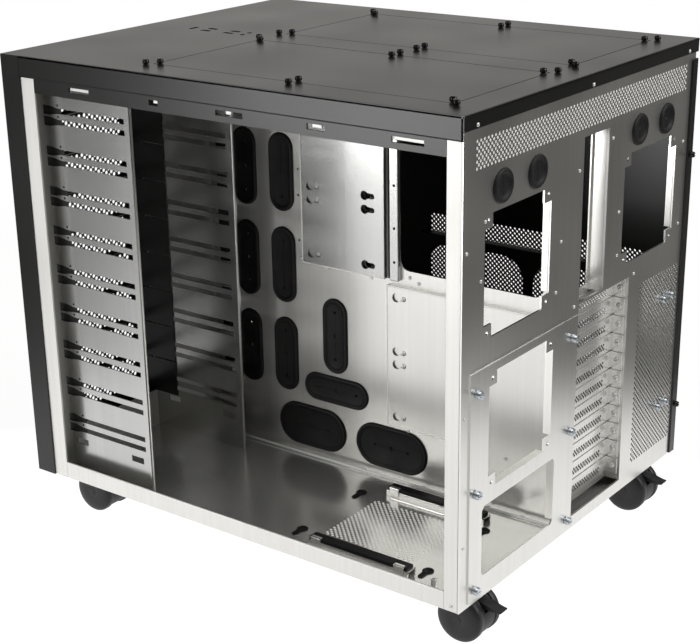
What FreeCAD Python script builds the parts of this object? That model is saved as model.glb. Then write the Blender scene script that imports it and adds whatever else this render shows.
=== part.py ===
"""Tower PC case on casters: folded sheet chassis, drive bays, board tray, panels and wheels.

Millimetres, +Z up, front towards -Y, open side towards +X, origin on the floor under the middle.
"""
import FreeCAD, Part
import os
import re
import Sketcher

SLOTS = 11
SLOT_VENTS = 6
COVER_VENTS = 4
COLUMN_ROWS = 3
KNOB_FLATS = 12
STRIP_COLUMNS, STRIP_ROWS = 20, 2
FIELD_COLUMNS, FIELD_ROWS = 5, 10
MESH_COLUMNS, MESH_ROWS = 11, 6
VENT_ROWS = 6
# A pattern's mark for a step of the same length as the others
EVEN_STEP = -1.0

# Driving sizes: cell name, value, what it measures
SIZES = [
    ("case_width", 455, "outside width over the skirts"),
    ("case_height", 472, "chassis bottom to the top cover"),
    ("case_depth", 566, "bezel face to the rear panel"),
    ("bezel_depth", 26, "depth of the front bezel"),
    ("bezel_plate", 4, "thickness of the bezel's face and rim"),
    ("wall", 2, "outer sheet thickness"),
    ("thin", 1.5, "inner sheet thickness"),
    ("gap", 0.3, "clearance between seated pieces"),
    ("skirt", 21, "top cover's side skirt"),
    ("rear_skirt", 14, "top cover's rear skirt"),
    ("rail_drop", 16, "side rail seen below the skirt"),
    ("rail_shelf", 12, "side rail's flange under the top cover"),
    ("rail_slot_pitch", 100, "spacing of the hook slots along a rail"),
    ("rail_slot_long", 34, "long hook slot"),
    ("rail_slot_short", 17, "short hook slot"),
    ("rail_slot_height", 5, "hook slot height"),
    ("front_post", 19, "front frame's side flange"),
    ("rear_post", 17, "rear panel's side flange"),
    ("base_lip", 19, "base pan's upturned lip"),
    ("bay_inset", 20, "outer bay wall from the case side"),
    ("bay_width", 150, "clear width of a drive column"),
    ("bay_pitch", 43.4, "height of one drive bay"),
    ("bay_base", 46, "lowest bay above the chassis bottom"),
    ("bay_crown", 30, "least height left above the highest bay"),
    ("bay_wall_depth", 137, "bay wall's reach behind the frame face"),
    ("bay_foot", 12, "bay wall's foot on the floor"),
    ("bay_lip", 4, "bay wall's stiffening fold"),
    ("bay_row", 10, "lower screw row above a bay's floor"),
    ("bay_row_gap", 11.8, "between a drive's two screw rows"),
    ("bay_slot_height", 5.6, "drive screw slot height"),
    ("bay_slot_length", 116, "drive screw slot length"),
    ("bay_slot_margin", 12, "slot's start behind the frame face"),
    ("bay_mouth", 9.6, "flared slot mouth height"),
    ("bay_mouth_length", 21, "flared slot mouth length"),
    ("bay_head", 9, "even part of the slot mouth"),
    ("lance_width", 18, "tab hole at a bay wall's foot"),
    ("lance_height", 7, "tab hole height"),
    ("lance_rise", 41, "tab hole above the chassis bottom"),
    ("cover_plate", 3, "bay cover face thickness"),
    ("cover_split", 0.8, "seam between two bay covers"),
    ("cover_tail", 34, "bay cover's reach into the bay"),
    ("cover_vent", 28, "coarse perforation in a bay cover"),
    ("fan_offset", 131.5, "rear fan openings from the middle"),
    ("fan_drop", 152, "rear fan openings' middle below the top"),
    ("fan_opening", 116, "fan opening, across flats"),
    ("fan_tab", 13, "corner tab in a fan opening"),
    ("fan_pitch", 105, "fan screw pitch"),
    ("fan_hole", 4.4, "fan screw hole"),
    ("fan_lip", 7, "folded edge of a rear opening"),
    ("grommet_pitch", 60, "between a pair of hose grommets"),
    ("grommet_drop", 73, "hose grommets below the top"),
    ("grommet_hole", 30, "hose grommet hole"),
    ("grommet_rim", 32, "hose grommet rim"),
    ("strip_width", 416, "perforated strip length"),
    ("strip_height", 31, "perforated strip height"),
    ("strip_drop", 53, "perforated strip's lower edge below the top"),
    ("strip_hole", 7, "coarse perforation in the strip"),
    ("field_side", 214.5, "perforated field's outer edge from the middle"),
    ("field_width", 97, "perforated field width"),
    ("field_height", 214, "perforated field height"),
    ("field_rise", 20, "perforated field above the chassis bottom"),
    ("field_hole", 13, "coarse perforation in the field"),
    ("slot_pitch", 20.32, "expansion slot pitch"),
    ("slot_cover_width", 18.4, "slot cover width"),
    ("slot_cover_length", 120, "slot cover length"),
    ("slot_cover_sheet", 0.9, "slot cover thickness"),
    ("slot_tab", 14, "slot cover's bent tab"),
    ("slot_base", 20, "lowest slot cover above the chassis bottom"),
    ("slot_recess", 17, "slot covers behind the rear face"),
    ("slot_shelf", 94.5, "screw shelf from the middle"),
    ("slot_mouth", 12.7, "slot window height"),
    ("slot_mouth_length", 100, "slot window length"),
    ("slot_vent", 7.4, "coarse perforation in a slot cover"),
    ("bracket_margin", 6.8, "slot bracket below the lowest slot"),
    ("port_width", 44.45, "rear port window width"),
    ("port_height", 158.75, "rear port window height"),
    ("port_rise", 251, "rear port window above the chassis bottom"),
    ("port_edge", 10, "rear port window's edge beside the middle"),
    ("port_margin", 3, "rear panel's cut-out round the port window"),
    ("plate_middle", 113.5, "removable rear plate from the middle"),
    ("plate_width", 196, "removable rear plate width"),
    ("plate_rise", 4, "removable rear plate above the chassis bottom"),
    ("plate_height", 232, "removable rear plate height"),
    ("plate_overlap", 17, "rear plate over its window, sides"),
    ("plate_overlap_end", 6, "rear plate over its window, ends"),
    ("plate_fan_rise", 170, "plate's fan opening above the chassis bottom"),
    ("plate_opening_middle", 122, "plate's openings from the middle"),
    ("supply_width", 135, "power supply opening width"),
    ("supply_height", 73, "power supply opening height"),
    ("supply_rise", 24, "power supply opening above the chassis bottom"),
    ("supply_corner", 4, "power supply opening's cut corner"),
    ("tray_offset", 19.5, "tray face from the middle"),
    ("tray_foot", 9, "tray's foot on the floor"),
    ("tray_length", 445, "tray's front edge from the rear face"),
    ("window_front", 209, "tray window's front edge from the rear face"),
    ("window_rear", 35, "tray window's rear edge from the rear face"),
    ("window_rise", 246, "tray window above the chassis bottom"),
    ("window_height", 154, "tray window height"),
    ("window_corner", 12, "tray window's cut corner"),
    ("oval_long", 88, "tray grommet rim length"),
    ("oval_wide", 33, "tray grommet rim width"),
    ("oval_front", 418, "front grommet column from the rear face"),
    ("oval_rear", 366, "rear grommet column from the rear face"),
    ("oval_rise", 118, "lowest grommet row above the chassis bottom"),
    ("oval_pitch", 106, "grommet row pitch"),
    ("middle_oval", 296, "lone grommets from the rear face"),
    ("middle_oval_rise", 153, "upright lone grommet above the chassis bottom"),
    ("flat_oval_rise", 88, "level lone grommet above the chassis bottom"),
    ("large_long", 95, "large grommet rim length"),
    ("large_wide", 51, "large grommet rim width"),
    ("large_front", 331, "front large grommet from the rear face"),
    ("large_rear", 221, "rear large grommet from the rear face"),
    ("large_rise", 36, "large grommets above the chassis bottom"),
    ("rubber", 3, "grommet rim thickness and overlap"),
    ("slit", 7, "width of a grommet's pass-through"),
    ("tray_plate_width", 110, "screwed tray plate width"),
    ("tray_plate_height", 161, "screwed tray plate height"),
    ("tray_plate_sheet", 1.2, "screwed tray plate thickness"),
    ("upper_plate_front", 335, "upper tray plate from the rear face"),
    ("upper_plate_rise", 234, "upper tray plate above the chassis bottom"),
    ("lower_plate_front", 222, "lower tray plate from the rear face"),
    ("lower_plate_rise", 67, "lower tray plate above the chassis bottom"),
    ("key_margin", 12, "keyholes from a tray plate's edges"),
    ("key_hole", 10, "keyhole diameter"),
    ("key_tail", 13, "keyhole's slot behind its middle"),
    ("key_slot", 6, "keyhole's slot width"),
    ("key_pair", 15, "between the two middle keyholes"),
    ("vent_middle", 124, "floor vent from the middle"),
    ("vent_rear", 146, "floor vent centre from the rear face"),
    ("vent_pitch_x", 16, "floor vent hole pitch across"),
    ("vent_pitch_y", 20, "floor vent hole pitch along"),
    ("vent_web", 4, "metal left between vent holes"),
    ("foot_pitch_x", 104, "floor grommets across"),
    ("foot_pitch_y", 157, "floor grommets along"),
    ("foot_hole", 9, "floor grommet hole"),
    ("rest_pitch", 139, "between the power supply rests"),
    ("rest_length", 124, "power supply rest length"),
    ("rest_width", 14, "power supply rest width"),
    ("rest_height", 7, "power supply rest height"),
    ("rest_rear", 137, "power supply rests' centre from the rear face"),
    ("pad_height", 2, "rubber strip on a rest"),
    ("top_window_inner", 22, "top panel's inner edge from the middle"),
    ("top_window_width", 165, "top panel width"),
    ("top_window_rear", 34, "top panel's rear edge from the rear face"),
    ("top_window_length", 354, "top panel length"),
    ("ledge", 9, "ledge under a top panel"),
    ("screw_step", 7.5, "thumbscrew from the seam beside it"),
    ("screw_corner", 5, "corner thumbscrew from its two seams"),
    ("screw_head", 8.4, "thumbscrew head diameter"),
    ("screw_head_height", 6, "thumbscrew head height"),
    ("screw_shank", 3.5, "thumbscrew thread diameter"),
    ("plate_screw_margin", 10, "plate thumbscrews from the plate's sides"),
    ("plate_screw_end", 11, "plate thumbscrews from the plate's bottom"),
    ("plate_screw_pitch", 100, "plate thumbscrew pitch"),
    ("field_screw_rise", 72, "field thumbscrews above the chassis bottom"),
    ("field_screw_pitch", 126, "between the field thumbscrew pairs"),
    ("panel_flange", 11, "side panel's fold behind the rear panel"),
    ("panel_screw_margin", 6, "side panel thumbscrews from its face"),
    ("panel_screw_rise", 60, "lower side panel thumbscrew above the chassis bottom"),
    ("panel_screw_pitch", 289, "side panel thumbscrew pitch"),
    ("mesh_rear", 44, "side perforation's rear edge from the rear face"),
    ("mesh_length", 294, "side perforation length"),
    ("mesh_rise", 70, "side perforation above the chassis bottom"),
    ("mesh_height", 164, "side perforation height"),
    ("mesh_hole", 20, "coarse perforation in the side panel"),
    ("side_fan_hole", 133, "side fan opening length"),
    ("side_fan_height", 121, "side fan opening height"),
    ("side_fan_corner", 20, "side fan opening's cut corner"),
    ("side_fan_pitch", 146, "side fan pitch"),
    ("side_fan_rear", 188, "side fans' middle from the rear face"),
    ("side_fan_rise", 139, "side fans above the chassis bottom"),
    ("side_bracket_length", 306, "fan bracket length"),
    ("side_bracket_height", 142, "fan bracket height"),
    ("side_bracket_depth", 13, "fan bracket's stand-off from the panel"),
    ("usb_long", 13, "top port slot length"),
    ("usb_wide", 5.5, "top port slot width"),
    ("usb_gap", 12.6, "between the two port rows"),
    ("usb_first", 446, "rear port pair from the rear face"),
    ("usb_second", 479, "front port pair from the rear face"),
    ("usb_third", 502, "cross port from the rear face"),
    ("jack_hole", 6, "audio jack hole"),
    ("jack_rear", 426, "audio jacks from the rear face"),
    ("port_block_width", 30, "port block width"),
    ("port_block_height", 14, "port block height"),
    ("port_block_length", 100, "port block length"),
    ("power_button", 17, "power button diameter"),
    ("reset_button", 8, "reset button diameter"),
    ("power_drop", 54, "power button below the top"),
    ("reset_drop", 28, "reset button below the power button"),
    ("button_proud", 1.5, "buttons in front of the bezel face"),
    ("button_travel", 2, "button stroke"),
    ("button_flange", 2, "button's retaining flange"),
    ("button_tail", 6, "button's depth behind its flange"),
    ("caster_height", 54, "floor to chassis bottom"),
    ("caster_inset_x", 55, "caster stem from the case side"),
    ("caster_inset_y", 40, "caster stem from the chassis ends"),
    ("caster_trail", 18, "axle behind the stem"),
    ("caster_plate", 40, "caster fixing plate diameter"),
    ("caster_plate_height", 3, "caster fixing plate thickness"),
    ("stem", 11, "caster stem diameter"),
    ("stem_length", 12, "caster stem below its plate"),
    ("running", 0.05, "radial running clearance"),
    ("wheel", 50, "wheel diameter"),
    ("wheel_width", 12, "wheel width"),
    ("wheel_round", 5, "rounding of the wheel's outer rim"),
    ("axle", 6, "axle diameter"),
    ("hood", 48, "hood diameter"),
    ("hood_width", 20, "hood width"),
    ("hood_clear", 8, "hood's lower edge above the floor"),
    ("hood_neck", 13, "hood in front of the stem"),
    ("wheel_gap", 0.6, "wheel beside the hood"),
    ("lever_reach", 40, "brake lever's tip behind the axle"),
    ("lever_pivot", 14, "brake pivot behind the axle"),
    ("lever_drop", 13, "brake pivot below the chassis bottom"),
    ("lever_width", 13, "brake lever width"),
    ("lever_thick", 7, "brake lever thickness at its pivot"),
    ("lever_pin", 4, "brake lever pin diameter"),
    ("lever_curl", 1, "fall of the lever's underside to its tip"),
    ("lever_room", 1, "hood's clearance round the lever"),
    ("lever_slope", 0.45, "fall of the lever's slot along its length"),
]

SIZE = {name: value for name, value, note in SIZES}
# As many drive bays as the height takes
BAYS = int((SIZE["case_height"] - SIZE["bay_base"] - SIZE["bay_crown"]) // SIZE["bay_pitch"])

# Places worked out from the sizes
PLACES = {
    "right": "case_width / 2",
    "skin": "right - wall",
    "lever_overhang": "caster_trail + lever_reach - caster_inset_y",
    "rear": "(case_depth + button_proud - lever_overhang) / 2",
    "front": "rear - case_depth",
    "face": "front + bezel_depth",
    "base": "caster_height",
    "floor": "base + wall",
    "top": "base + case_height",
    "roof": "top - wall",
    "bay_outer": "right - bay_inset",
    "bay_inner": "bay_outer - bay_width",
    "bays_low": "base + bay_base",
    "bays_high": "bays_low + %d * bay_pitch" % BAYS,
    "recess": "rear - slot_recess",
    "bracket_end": "slot_cover_length - slot_shelf + 2 * thin",
    "slots_low": "base + slot_base",
    "slots_high": "slots_low + %d * slot_pitch" % SLOTS,
    "port_low": "base + port_rise",
    "port_high": "port_low + port_height",
    "port_wall": "-port_edge + port_width + port_margin",
    "plate_low": "base + plate_rise",
    "axle_z": "wheel / 2 - caster_height",
    "pivot_y": "caster_trail + lever_pivot",
    "pivot_z": "-lever_drop",
    "hood_low": "hood_clear - caster_height",
}

CELLS = {name: "Size." + name for name in SIZE}
NUMBERS = {name: str(value) for name, value in SIZE.items()}
doc = FreeCAD.newDocument("pc_case")
sheet = doc.addObject("Spreadsheet::Sheet", "Size")
pieces = []


def fill_sheet():
    """Put each driving size in a cell with its name as alias."""
    for row, (name, value, note) in enumerate(SIZES, start=1):
        sheet.set("A%d" % row, name)
        sheet.set("B%d" % row, str(value))
        sheet.setAlias("B%d" % row, name)
        sheet.set("C%d" % row, note)
    doc.recompute()


def spelled(text, words):
    """Size formula with each size's name replaced and each worked-out place written out."""
    def spell(match):
        word = match.group(0)
        if word in PLACES:
            return "(" + spelled(PLACES[word], words) + ")"
        return words[word]
    return re.sub(r"[a-z]\w*", spell, text)


def formula(text):
    """Size formula on the sheet's cells."""
    return spelled(text, CELLS)


def amount(text):
    """Present value of a size formula."""
    return FreeCAD.Units.Quantity(spelled(text, NUMBERS)).Value


def vector(x, y, z="0"):
    """Point from size formulas."""
    return FreeCAD.Vector(amount(x), amount(y), amount(z))


def new_body(label):
    """Body of one sub-part, kept for the export."""
    body = doc.addObject("PartDesign::Body", label)
    pieces.append(body)
    return body


def rect(u0, v0, u1, v1):
    """Four corners of a rectangle."""
    return [(u0, v0), (u1, v0), (u1, v1), (u0, v1)]


def block(u, v, width, height):
    """Rectangle by its centre and size."""
    return rect(f"{u} - ({width}) / 2", f"{v} - ({height}) / 2",
                f"{u} + ({width}) / 2", f"{v} + ({height}) / 2")


def mirrored(points, side):
    """Outline on the right (1) or the left (-1) of the middle plane."""
    return [(f"{side} * ({u})", v) for u, v in points]


def disc(u, v, diameter):
    """Circle by its centre and diameter."""
    return (u, v, f"({diameter}) / 2")


def notched(u, v, size, tab):
    """Square opening with a tab left in each corner."""
    signs = [(-1, -1), (1, -1), (1, 1), (-1, 1)]
    points = []
    for index, (su, sv) in enumerate(signs):
        along = (f"{u} + {su} * (({size}) / 2 - {tab})", f"{v} + {sv} * ({size}) / 2")
        inner = (f"{u} + {su} * (({size}) / 2 - {tab})", f"{v} + {sv} * (({size}) / 2 - {tab})")
        beside = (f"{u} + {su} * ({size}) / 2", f"{v} + {sv} * (({size}) / 2 - {tab})")
        points += [beside, inner, along] if index % 2 == 0 else [along, inner, beside]
    return points


def chamfered(u, v, width, height, corner):
    """Rectangle with its four corners cut at 45 degrees."""
    w, h = f"({width}) / 2", f"({height}) / 2"
    return [(f"{u} - {w} + {corner}", f"{v} - {h}"), (f"{u} + {w} - {corner}", f"{v} - {h}"),
            (f"{u} + {w}", f"{v} - {h} + {corner}"), (f"{u} + {w}", f"{v} + {h} - {corner}"),
            (f"{u} + {w} - {corner}", f"{v} + {h}"), (f"{u} - {w} + {corner}", f"{v} + {h}"),
            (f"{u} - {w}", f"{v} + {h} - {corner}"), (f"{u} - {w}", f"{v} - {h} + {corner}")]


def drop_in(sketch, limits):
    """Add constraints together and tie each dimension to its formula."""
    numbers = sketch.addConstraint([constraint for constraint, text in limits])
    for number, (constraint, text) in zip(numbers, limits):
        if text is not None:
            sketch.setExpression(f"Constraints[{number}]", formula(text))


def place_point(geometry, end, u, v):
    """Constraints that put a sketch point at two formulas."""
    return [(Sketcher.Constraint(kind, -1, 1, geometry, end, amount(text)), text)
            for kind, text in (("DistanceX", u), ("DistanceY", v))]


def add_polygon(sketch, points):
    """Closed outline of straight edges."""
    first = sketch.GeometryCount
    count = len(points)
    spots = [vector(u, v) for u, v in points]
    sketch.addGeometry([Part.LineSegment(a, b) for a, b in zip(spots, spots[1:] + spots[:1])])
    limits = [(Sketcher.Constraint("Coincident", first + i, 2, first + (i + 1) % count, 1), None)
              for i in range(count)]
    for index, (u, v) in enumerate(points):
        limits += place_point(first + index, 1, u, v)
    drop_in(sketch, limits)


def add_circle(sketch, u, v, radius):
    """Circle at a formula's place."""
    number = sketch.addGeometry(Part.Circle(vector(u, v), FreeCAD.Vector(0, 0, 1), amount(radius)))
    drop_in(sketch, place_point(number, 3, u, v)
            + [(Sketcher.Constraint("Radius", number, amount(radius)), radius)])


def add_oval(sketch, u, v, along_u, along_v):
    """Slot with round ends along the longer of its two sides."""
    level = amount(along_u) >= amount(along_v)
    radius = f"({along_v if level else along_u}) / 2"
    reach = f"(({along_u if level else along_v}) / 2 - {radius})"
    ends = [(f"{u} + {s} * {reach}", v) if level else (u, f"{v} + {s} * {reach}") for s in (1, -1)]
    turn = 0 if level else 90
    first = sketch.GeometryCount
    arcs = []
    for (cu, cv), start in zip(ends, (turn - 90, turn + 90)):
        circle = Part.Circle(vector(cu, cv), FreeCAD.Vector(0, 0, 1), amount(radius))
        arcs.append(Part.ArcOfCircle(circle, *[FreeCAD.Units.Quantity(a, "deg").getValueAs("rad").Value
                                               for a in (start, start + 180)]))
    sides = [Part.LineSegment(arcs[0].EndPoint, arcs[1].StartPoint),
             Part.LineSegment(arcs[1].EndPoint, arcs[0].StartPoint)]
    sketch.addGeometry(arcs + sides)
    limits = [(Sketcher.Constraint("Tangent", *joint), None) for joint in (
        (first, 2, first + 2, 1), (first + 2, 2, first + 1, 1),
        (first + 1, 2, first + 3, 1), (first + 3, 2, first, 1))]
    for index, (cu, cv) in enumerate(ends):
        limits += place_point(first + index, 3, cu, cv)
        limits.append((Sketcher.Constraint("Radius", first + index, amount(radius)), radius))
    drop_in(sketch, limits)


def draw(body, plane, at, outlines):
    """Sketch on one of the body's own planes, moved to a formula's place."""
    sketch = body.newObject("Sketcher::SketchObject", body.Name + "_sketch")
    support = [f for f in body.Origin.OriginFeatures if f.Role == plane + "_Plane"][0]
    sketch.AttachmentSupport = (support, [""])
    sketch.MapMode = "FlatFace"
    sign = "-1" if plane == "XZ" else "1"
    sketch.setExpression("AttachmentOffset.Base.z", formula(f"{sign} * ({at})"))
    for outline in outlines:
        if isinstance(outline, list):
            add_polygon(sketch, outline)
        elif len(outline) == 3:
            add_circle(sketch, *outline)
        else:
            add_oval(sketch, *outline)
    return sketch


def pad(body, plane, at, length, *outlines):
    """Add material from a plane along its positive axis."""
    feature = body.newObject("PartDesign::Pad", body.Name + "_pad")
    feature.Profile = draw(body, plane, at, outlines)
    feature.setExpression("Length", formula(length))
    feature.Reversed = plane == "XZ"
    doc.recompute()
    return feature


def cut(body, plane, at, length, *outlines):
    """Remove material from a plane along its positive axis."""
    before = body.Shape.Volume
    feature = body.newObject("PartDesign::Pocket", body.Name + "_cut")
    feature.Profile = draw(body, plane, at, outlines)
    feature.setExpression("Length", formula(length))
    feature.Reversed = plane != "XZ"
    doc.recompute()
    if not body.Shape.Volume < before:
        raise RuntimeError(f"{feature.Name} removes nothing")
    return feature


def repeat(body, feature, u_step, u_count, v_step="0", v_count=1):
    """Repeat a feature along its sketch's two axes."""
    pattern = body.newObject("PartDesign::LinearPattern", body.Name + "_pattern")
    pattern.Originals = [feature]
    sketch = feature.Profile[0]
    for suffix, axis, step, count in (("", "H_Axis", u_step, u_count), ("2", "V_Axis", v_step, v_count)):
        setattr(pattern, "Direction" + suffix, (sketch, [axis]))
        setattr(pattern, "Mode" + suffix, "Spacing")
        setattr(pattern, "Occurrences" + suffix, count)
        setattr(pattern, "Spacings" + suffix, [EVEN_STEP] * (count - 1))
        if count > 1:
            pattern.setExpression("Offset" + suffix, formula(step))
    body.Tip = pattern
    doc.recompute()
    return pattern


def put(body, x, y, z, turned=False):
    """Set a body on its place, turned half round for the front casters."""
    turn = FreeCAD.Rotation(FreeCAD.Vector(0, 0, 1), 180 if turned else 0)
    body.Placement = FreeCAD.Placement(vector(x, y, z), turn)
    for axis, text in zip("xyz", (x, y, z)):
        body.setExpression("Placement.Base." + axis, formula(text))


def group(label, shape, places):
    """Separate copies of one solid in one node."""
    node = doc.addObject("Part::Feature", label)
    copies = []
    for place in places:
        copy = shape.copy()
        copy.Placement = place.multiply(copy.Placement)
        copies.append(copy)
    node.Shape = Part.makeCompound(copies)
    pieces.append(node)
    return node


def make_base_pan():
    """Folded floor with upturned lips between the corner posts."""
    pan = new_body("base_pan")
    lip = "base + base_lip"
    pad(pan, "XZ", "face + wall", "rear - face - 2 * wall", [
        ("-skin", "base"), ("skin", "base"), ("skin", lip), ("skin - wall", lip),
        ("skin - wall", "floor"), ("wall - skin", "floor"), ("wall - skin", lip), ("-skin", lip)])
    corners = []
    for side in (1, -1):
        corners.append(mirrored(rect("skin - wall", "face", "right", "face + front_post"), side))
        corners.append(mirrored(rect("skin - wall", "rear - rear_post", "right", "rear"), side))
    cut(pan, "XY", "base", "base_lip", *corners)
    reach = (VENT_ROWS - 1) / 2
    first = cut(pan, "XY", "base", "wall", block(
        f"vent_middle - {reach} * vent_pitch_x", f"rear - vent_rear - {reach} * vent_pitch_y",
        "vent_pitch_x - vent_web", "vent_pitch_y - vent_web"))
    repeat(pan, first, "vent_pitch_x", VENT_ROWS, "vent_pitch_y", VENT_ROWS)
    cut(pan, "XY", "base", "wall", *[disc(x, y, "foot_hole") for x, y in foot_places()])


def foot_places():
    """Centres of the floor grommets."""
    return [(f"vent_middle + {i} * foot_pitch_x / 2", f"rear - vent_rear + {j} * foot_pitch_y / 2")
            for i in (-1, 1) for j in (-1, 1)]


def make_front_frame():
    """Folded front sheet: its side flanges are the posts, its windows the bay columns."""
    frame = new_body("front_frame")
    section = [("-skin", "face"), ("skin", "face"), ("skin", "face + front_post"),
               ("skin - wall", "face + front_post"), ("skin - wall", "face + wall"),
               ("wall - skin", "face + wall"), ("wall - skin", "face + front_post"),
               ("-skin", "face + front_post")]
    pad(frame, "XY", "base", "case_height - wall", section)
    cut(frame, "XZ", "face", "wall", *bay_windows())


def bay_windows():
    """Outlines of the two drive columns, seen from the front."""
    return [mirrored(rect("bay_inner", "bays_low", "bay_outer", "bays_high"), side) for side in (1, -1)]


def make_front_bezel():
    """Black front shell with the bay windows and the button holes."""
    bezel = new_body("front_bezel")
    pad(bezel, "XZ", "front", "bezel_depth", rect("-right", "base", "right", "top"))
    cut(bezel, "XZ", "front + bezel_plate", "bezel_depth - bezel_plate", rect(
        "bezel_plate - right", "base + bezel_plate", "right - bezel_plate", "top - bezel_plate"))
    cut(bezel, "XZ", "front", "bezel_plate", *bay_windows())
    for x, z, size in button_places().values():
        cut(bezel, "XZ", "front", "bezel_plate", disc(x, z, f"{size} + 2 * gap"))


def button_places():
    """Place and diameter of each front button."""
    return {"power_button": ("0", "top - power_drop", "power_button"),
            "reset_button": ("0", "top - power_drop - reset_drop", "reset_button")}


def make_buttons():
    """Front push buttons, each kept by a flange behind the bezel's face."""
    for label, (x, z, size) in button_places().items():
        button = new_body(label)
        flange = "front + bezel_plate + gap"
        pad(button, "XZ", "front - button_proud", "bezel_plate + button_proud + gap", disc(x, z, size))
        pad(button, "XZ", flange, "button_flange", disc(x, z, f"{size} + 4 * button_flange"))
        pad(button, "XZ", f"{flange} + button_flange", "button_tail", disc(x, z, f"{size} - button_flange"))


def make_bay_covers():
    """Perforated covers of the two drive columns, folded back at top and bottom."""
    for label, side in (("bay_covers_right", 1), ("bay_covers_left", -1)):
        covers = new_body(label)
        start = "bay_inner + gap" if side > 0 else "gap - bay_outer"
        outlines = []
        for bay in range(BAYS):
            low = f"bays_low + {bay} * bay_pitch + cover_split / 2"
            high = f"bays_low + {bay + 1} * bay_pitch - cover_split / 2"
            inside, tail = "front + cover_plate", "face + wall + cover_tail"
            outlines.append([("front", low), (tail, low), (tail, f"{low} + thin"), (inside, f"{low} + thin"),
                             (inside, f"{high} - thin"), (tail, f"{high} - thin"), (tail, high),
                             ("front", high)])
        pad(covers, "YZ", start, "bay_width - 2 * gap", *outlines)
        step = f"bay_width / {COVER_VENTS}"
        vents = [block(f"{start} - gap + {step} / 2", f"bays_low + ({bay} + 1 / 2) * bay_pitch",
                       "cover_vent", "cover_vent") for bay in range(BAYS)]
        repeat(covers, cut(covers, "XZ", "front", "cover_plate", *vents), step, COVER_VENTS)


def make_bay_walls():
    """Slotted plates at both sides of each drive column, with a foot and a folded rear edge."""
    ends = "face + bay_wall_depth"
    for label, side, inner, outward in (("bay_wall_right_outer", 1, "bay_outer", 1),
                                        ("bay_wall_right_inner", 1, "bay_inner", -1),
                                        ("bay_wall_left_inner", -1, "bay_inner", -1),
                                        ("bay_wall_left_outer", -1, "bay_outer", 1)):
        wall = new_body(label)
        back = f"{inner} + {outward} * thin"
        section = [(inner, "face + wall"), (back, "face + wall"), (back, f"{ends} - thin"),
                   (f"{inner} + {outward} * bay_lip", f"{ends} - thin"),
                   (f"{inner} + {outward} * bay_lip", ends), (inner, ends)]
        pad(wall, "XY", "floor", "roof - floor", mirrored(section, side))
        foot = rect(back, "face + front_post + wall", f"{inner} + {outward} * bay_foot", f"{ends} - bay_lip")
        pad(wall, "XY", "floor", "thin", mirrored(foot, side))
        start = f"{side} * ({inner}) - ({'0' if side * outward > 0 else 'thin'})"
        rows = [slot_outline(f"bays_low + bay_row + {row} * bay_row_gap") for row in (0, 1)]
        slots = cut(wall, "YZ", start, "thin", *rows)
        repeat(wall, slots, "0", 1, "bay_pitch", BAYS)
        lances = [block(y, "base + lance_rise", "lance_width", "lance_height")
                  for y in ("face + bay_slot_margin + lance_width", f"{ends} - lance_width - bay_lip")]
        cut(wall, "YZ", start, "thin", *lances)


def slot_outline(z):
    """Drive screw slot with a flared mouth towards the front."""
    mouth = "face + bay_slot_margin"
    head, neck = f"{mouth} + bay_head", f"{mouth} + bay_mouth_length"
    end = f"{mouth} + bay_slot_length"
    wide, narrow = "bay_mouth / 2", "bay_slot_height / 2"
    return [(mouth, f"{z} - {wide}"), (head, f"{z} - {wide}"), (neck, f"{z} - {narrow}"),
            (end, f"{z} - {narrow}"), (end, f"{z} + {narrow}"), (neck, f"{z} + {narrow}"),
            (head, f"{z} + {wide}"), (mouth, f"{z} + {wide}")]


def fan_places():
    """Middle of each fan opening and of its plate."""
    return [("fan_offset", "top - fan_drop"), ("-fan_offset", "top - fan_drop")]


def fan_outlines(x, z):
    """Fan opening with corner tabs and its four screw holes."""
    holes = [disc(f"{x} + {i} * fan_pitch / 2", f"{z} + {j} * fan_pitch / 2", "fan_hole")
             for i in (-1, 1) for j in (-1, 1)]
    return [notched(x, z, "fan_opening", "fan_tab")] + holes


def hose_places():
    """Centres of the round rear grommets."""
    return [(f"{side} * fan_offset + {step} * grommet_pitch / 2", "top - grommet_drop")
            for side in (1, -1) for step in (1, -1)]


def fold_edge(body, x, z, height, back):
    """Fold along an opening's upright edge, turned inwards."""
    pad(body, "XY", f"{z} - ({height}) / 2", height, rect(f"{x} - thin", f"{back} - fan_lip", x, back))


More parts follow.
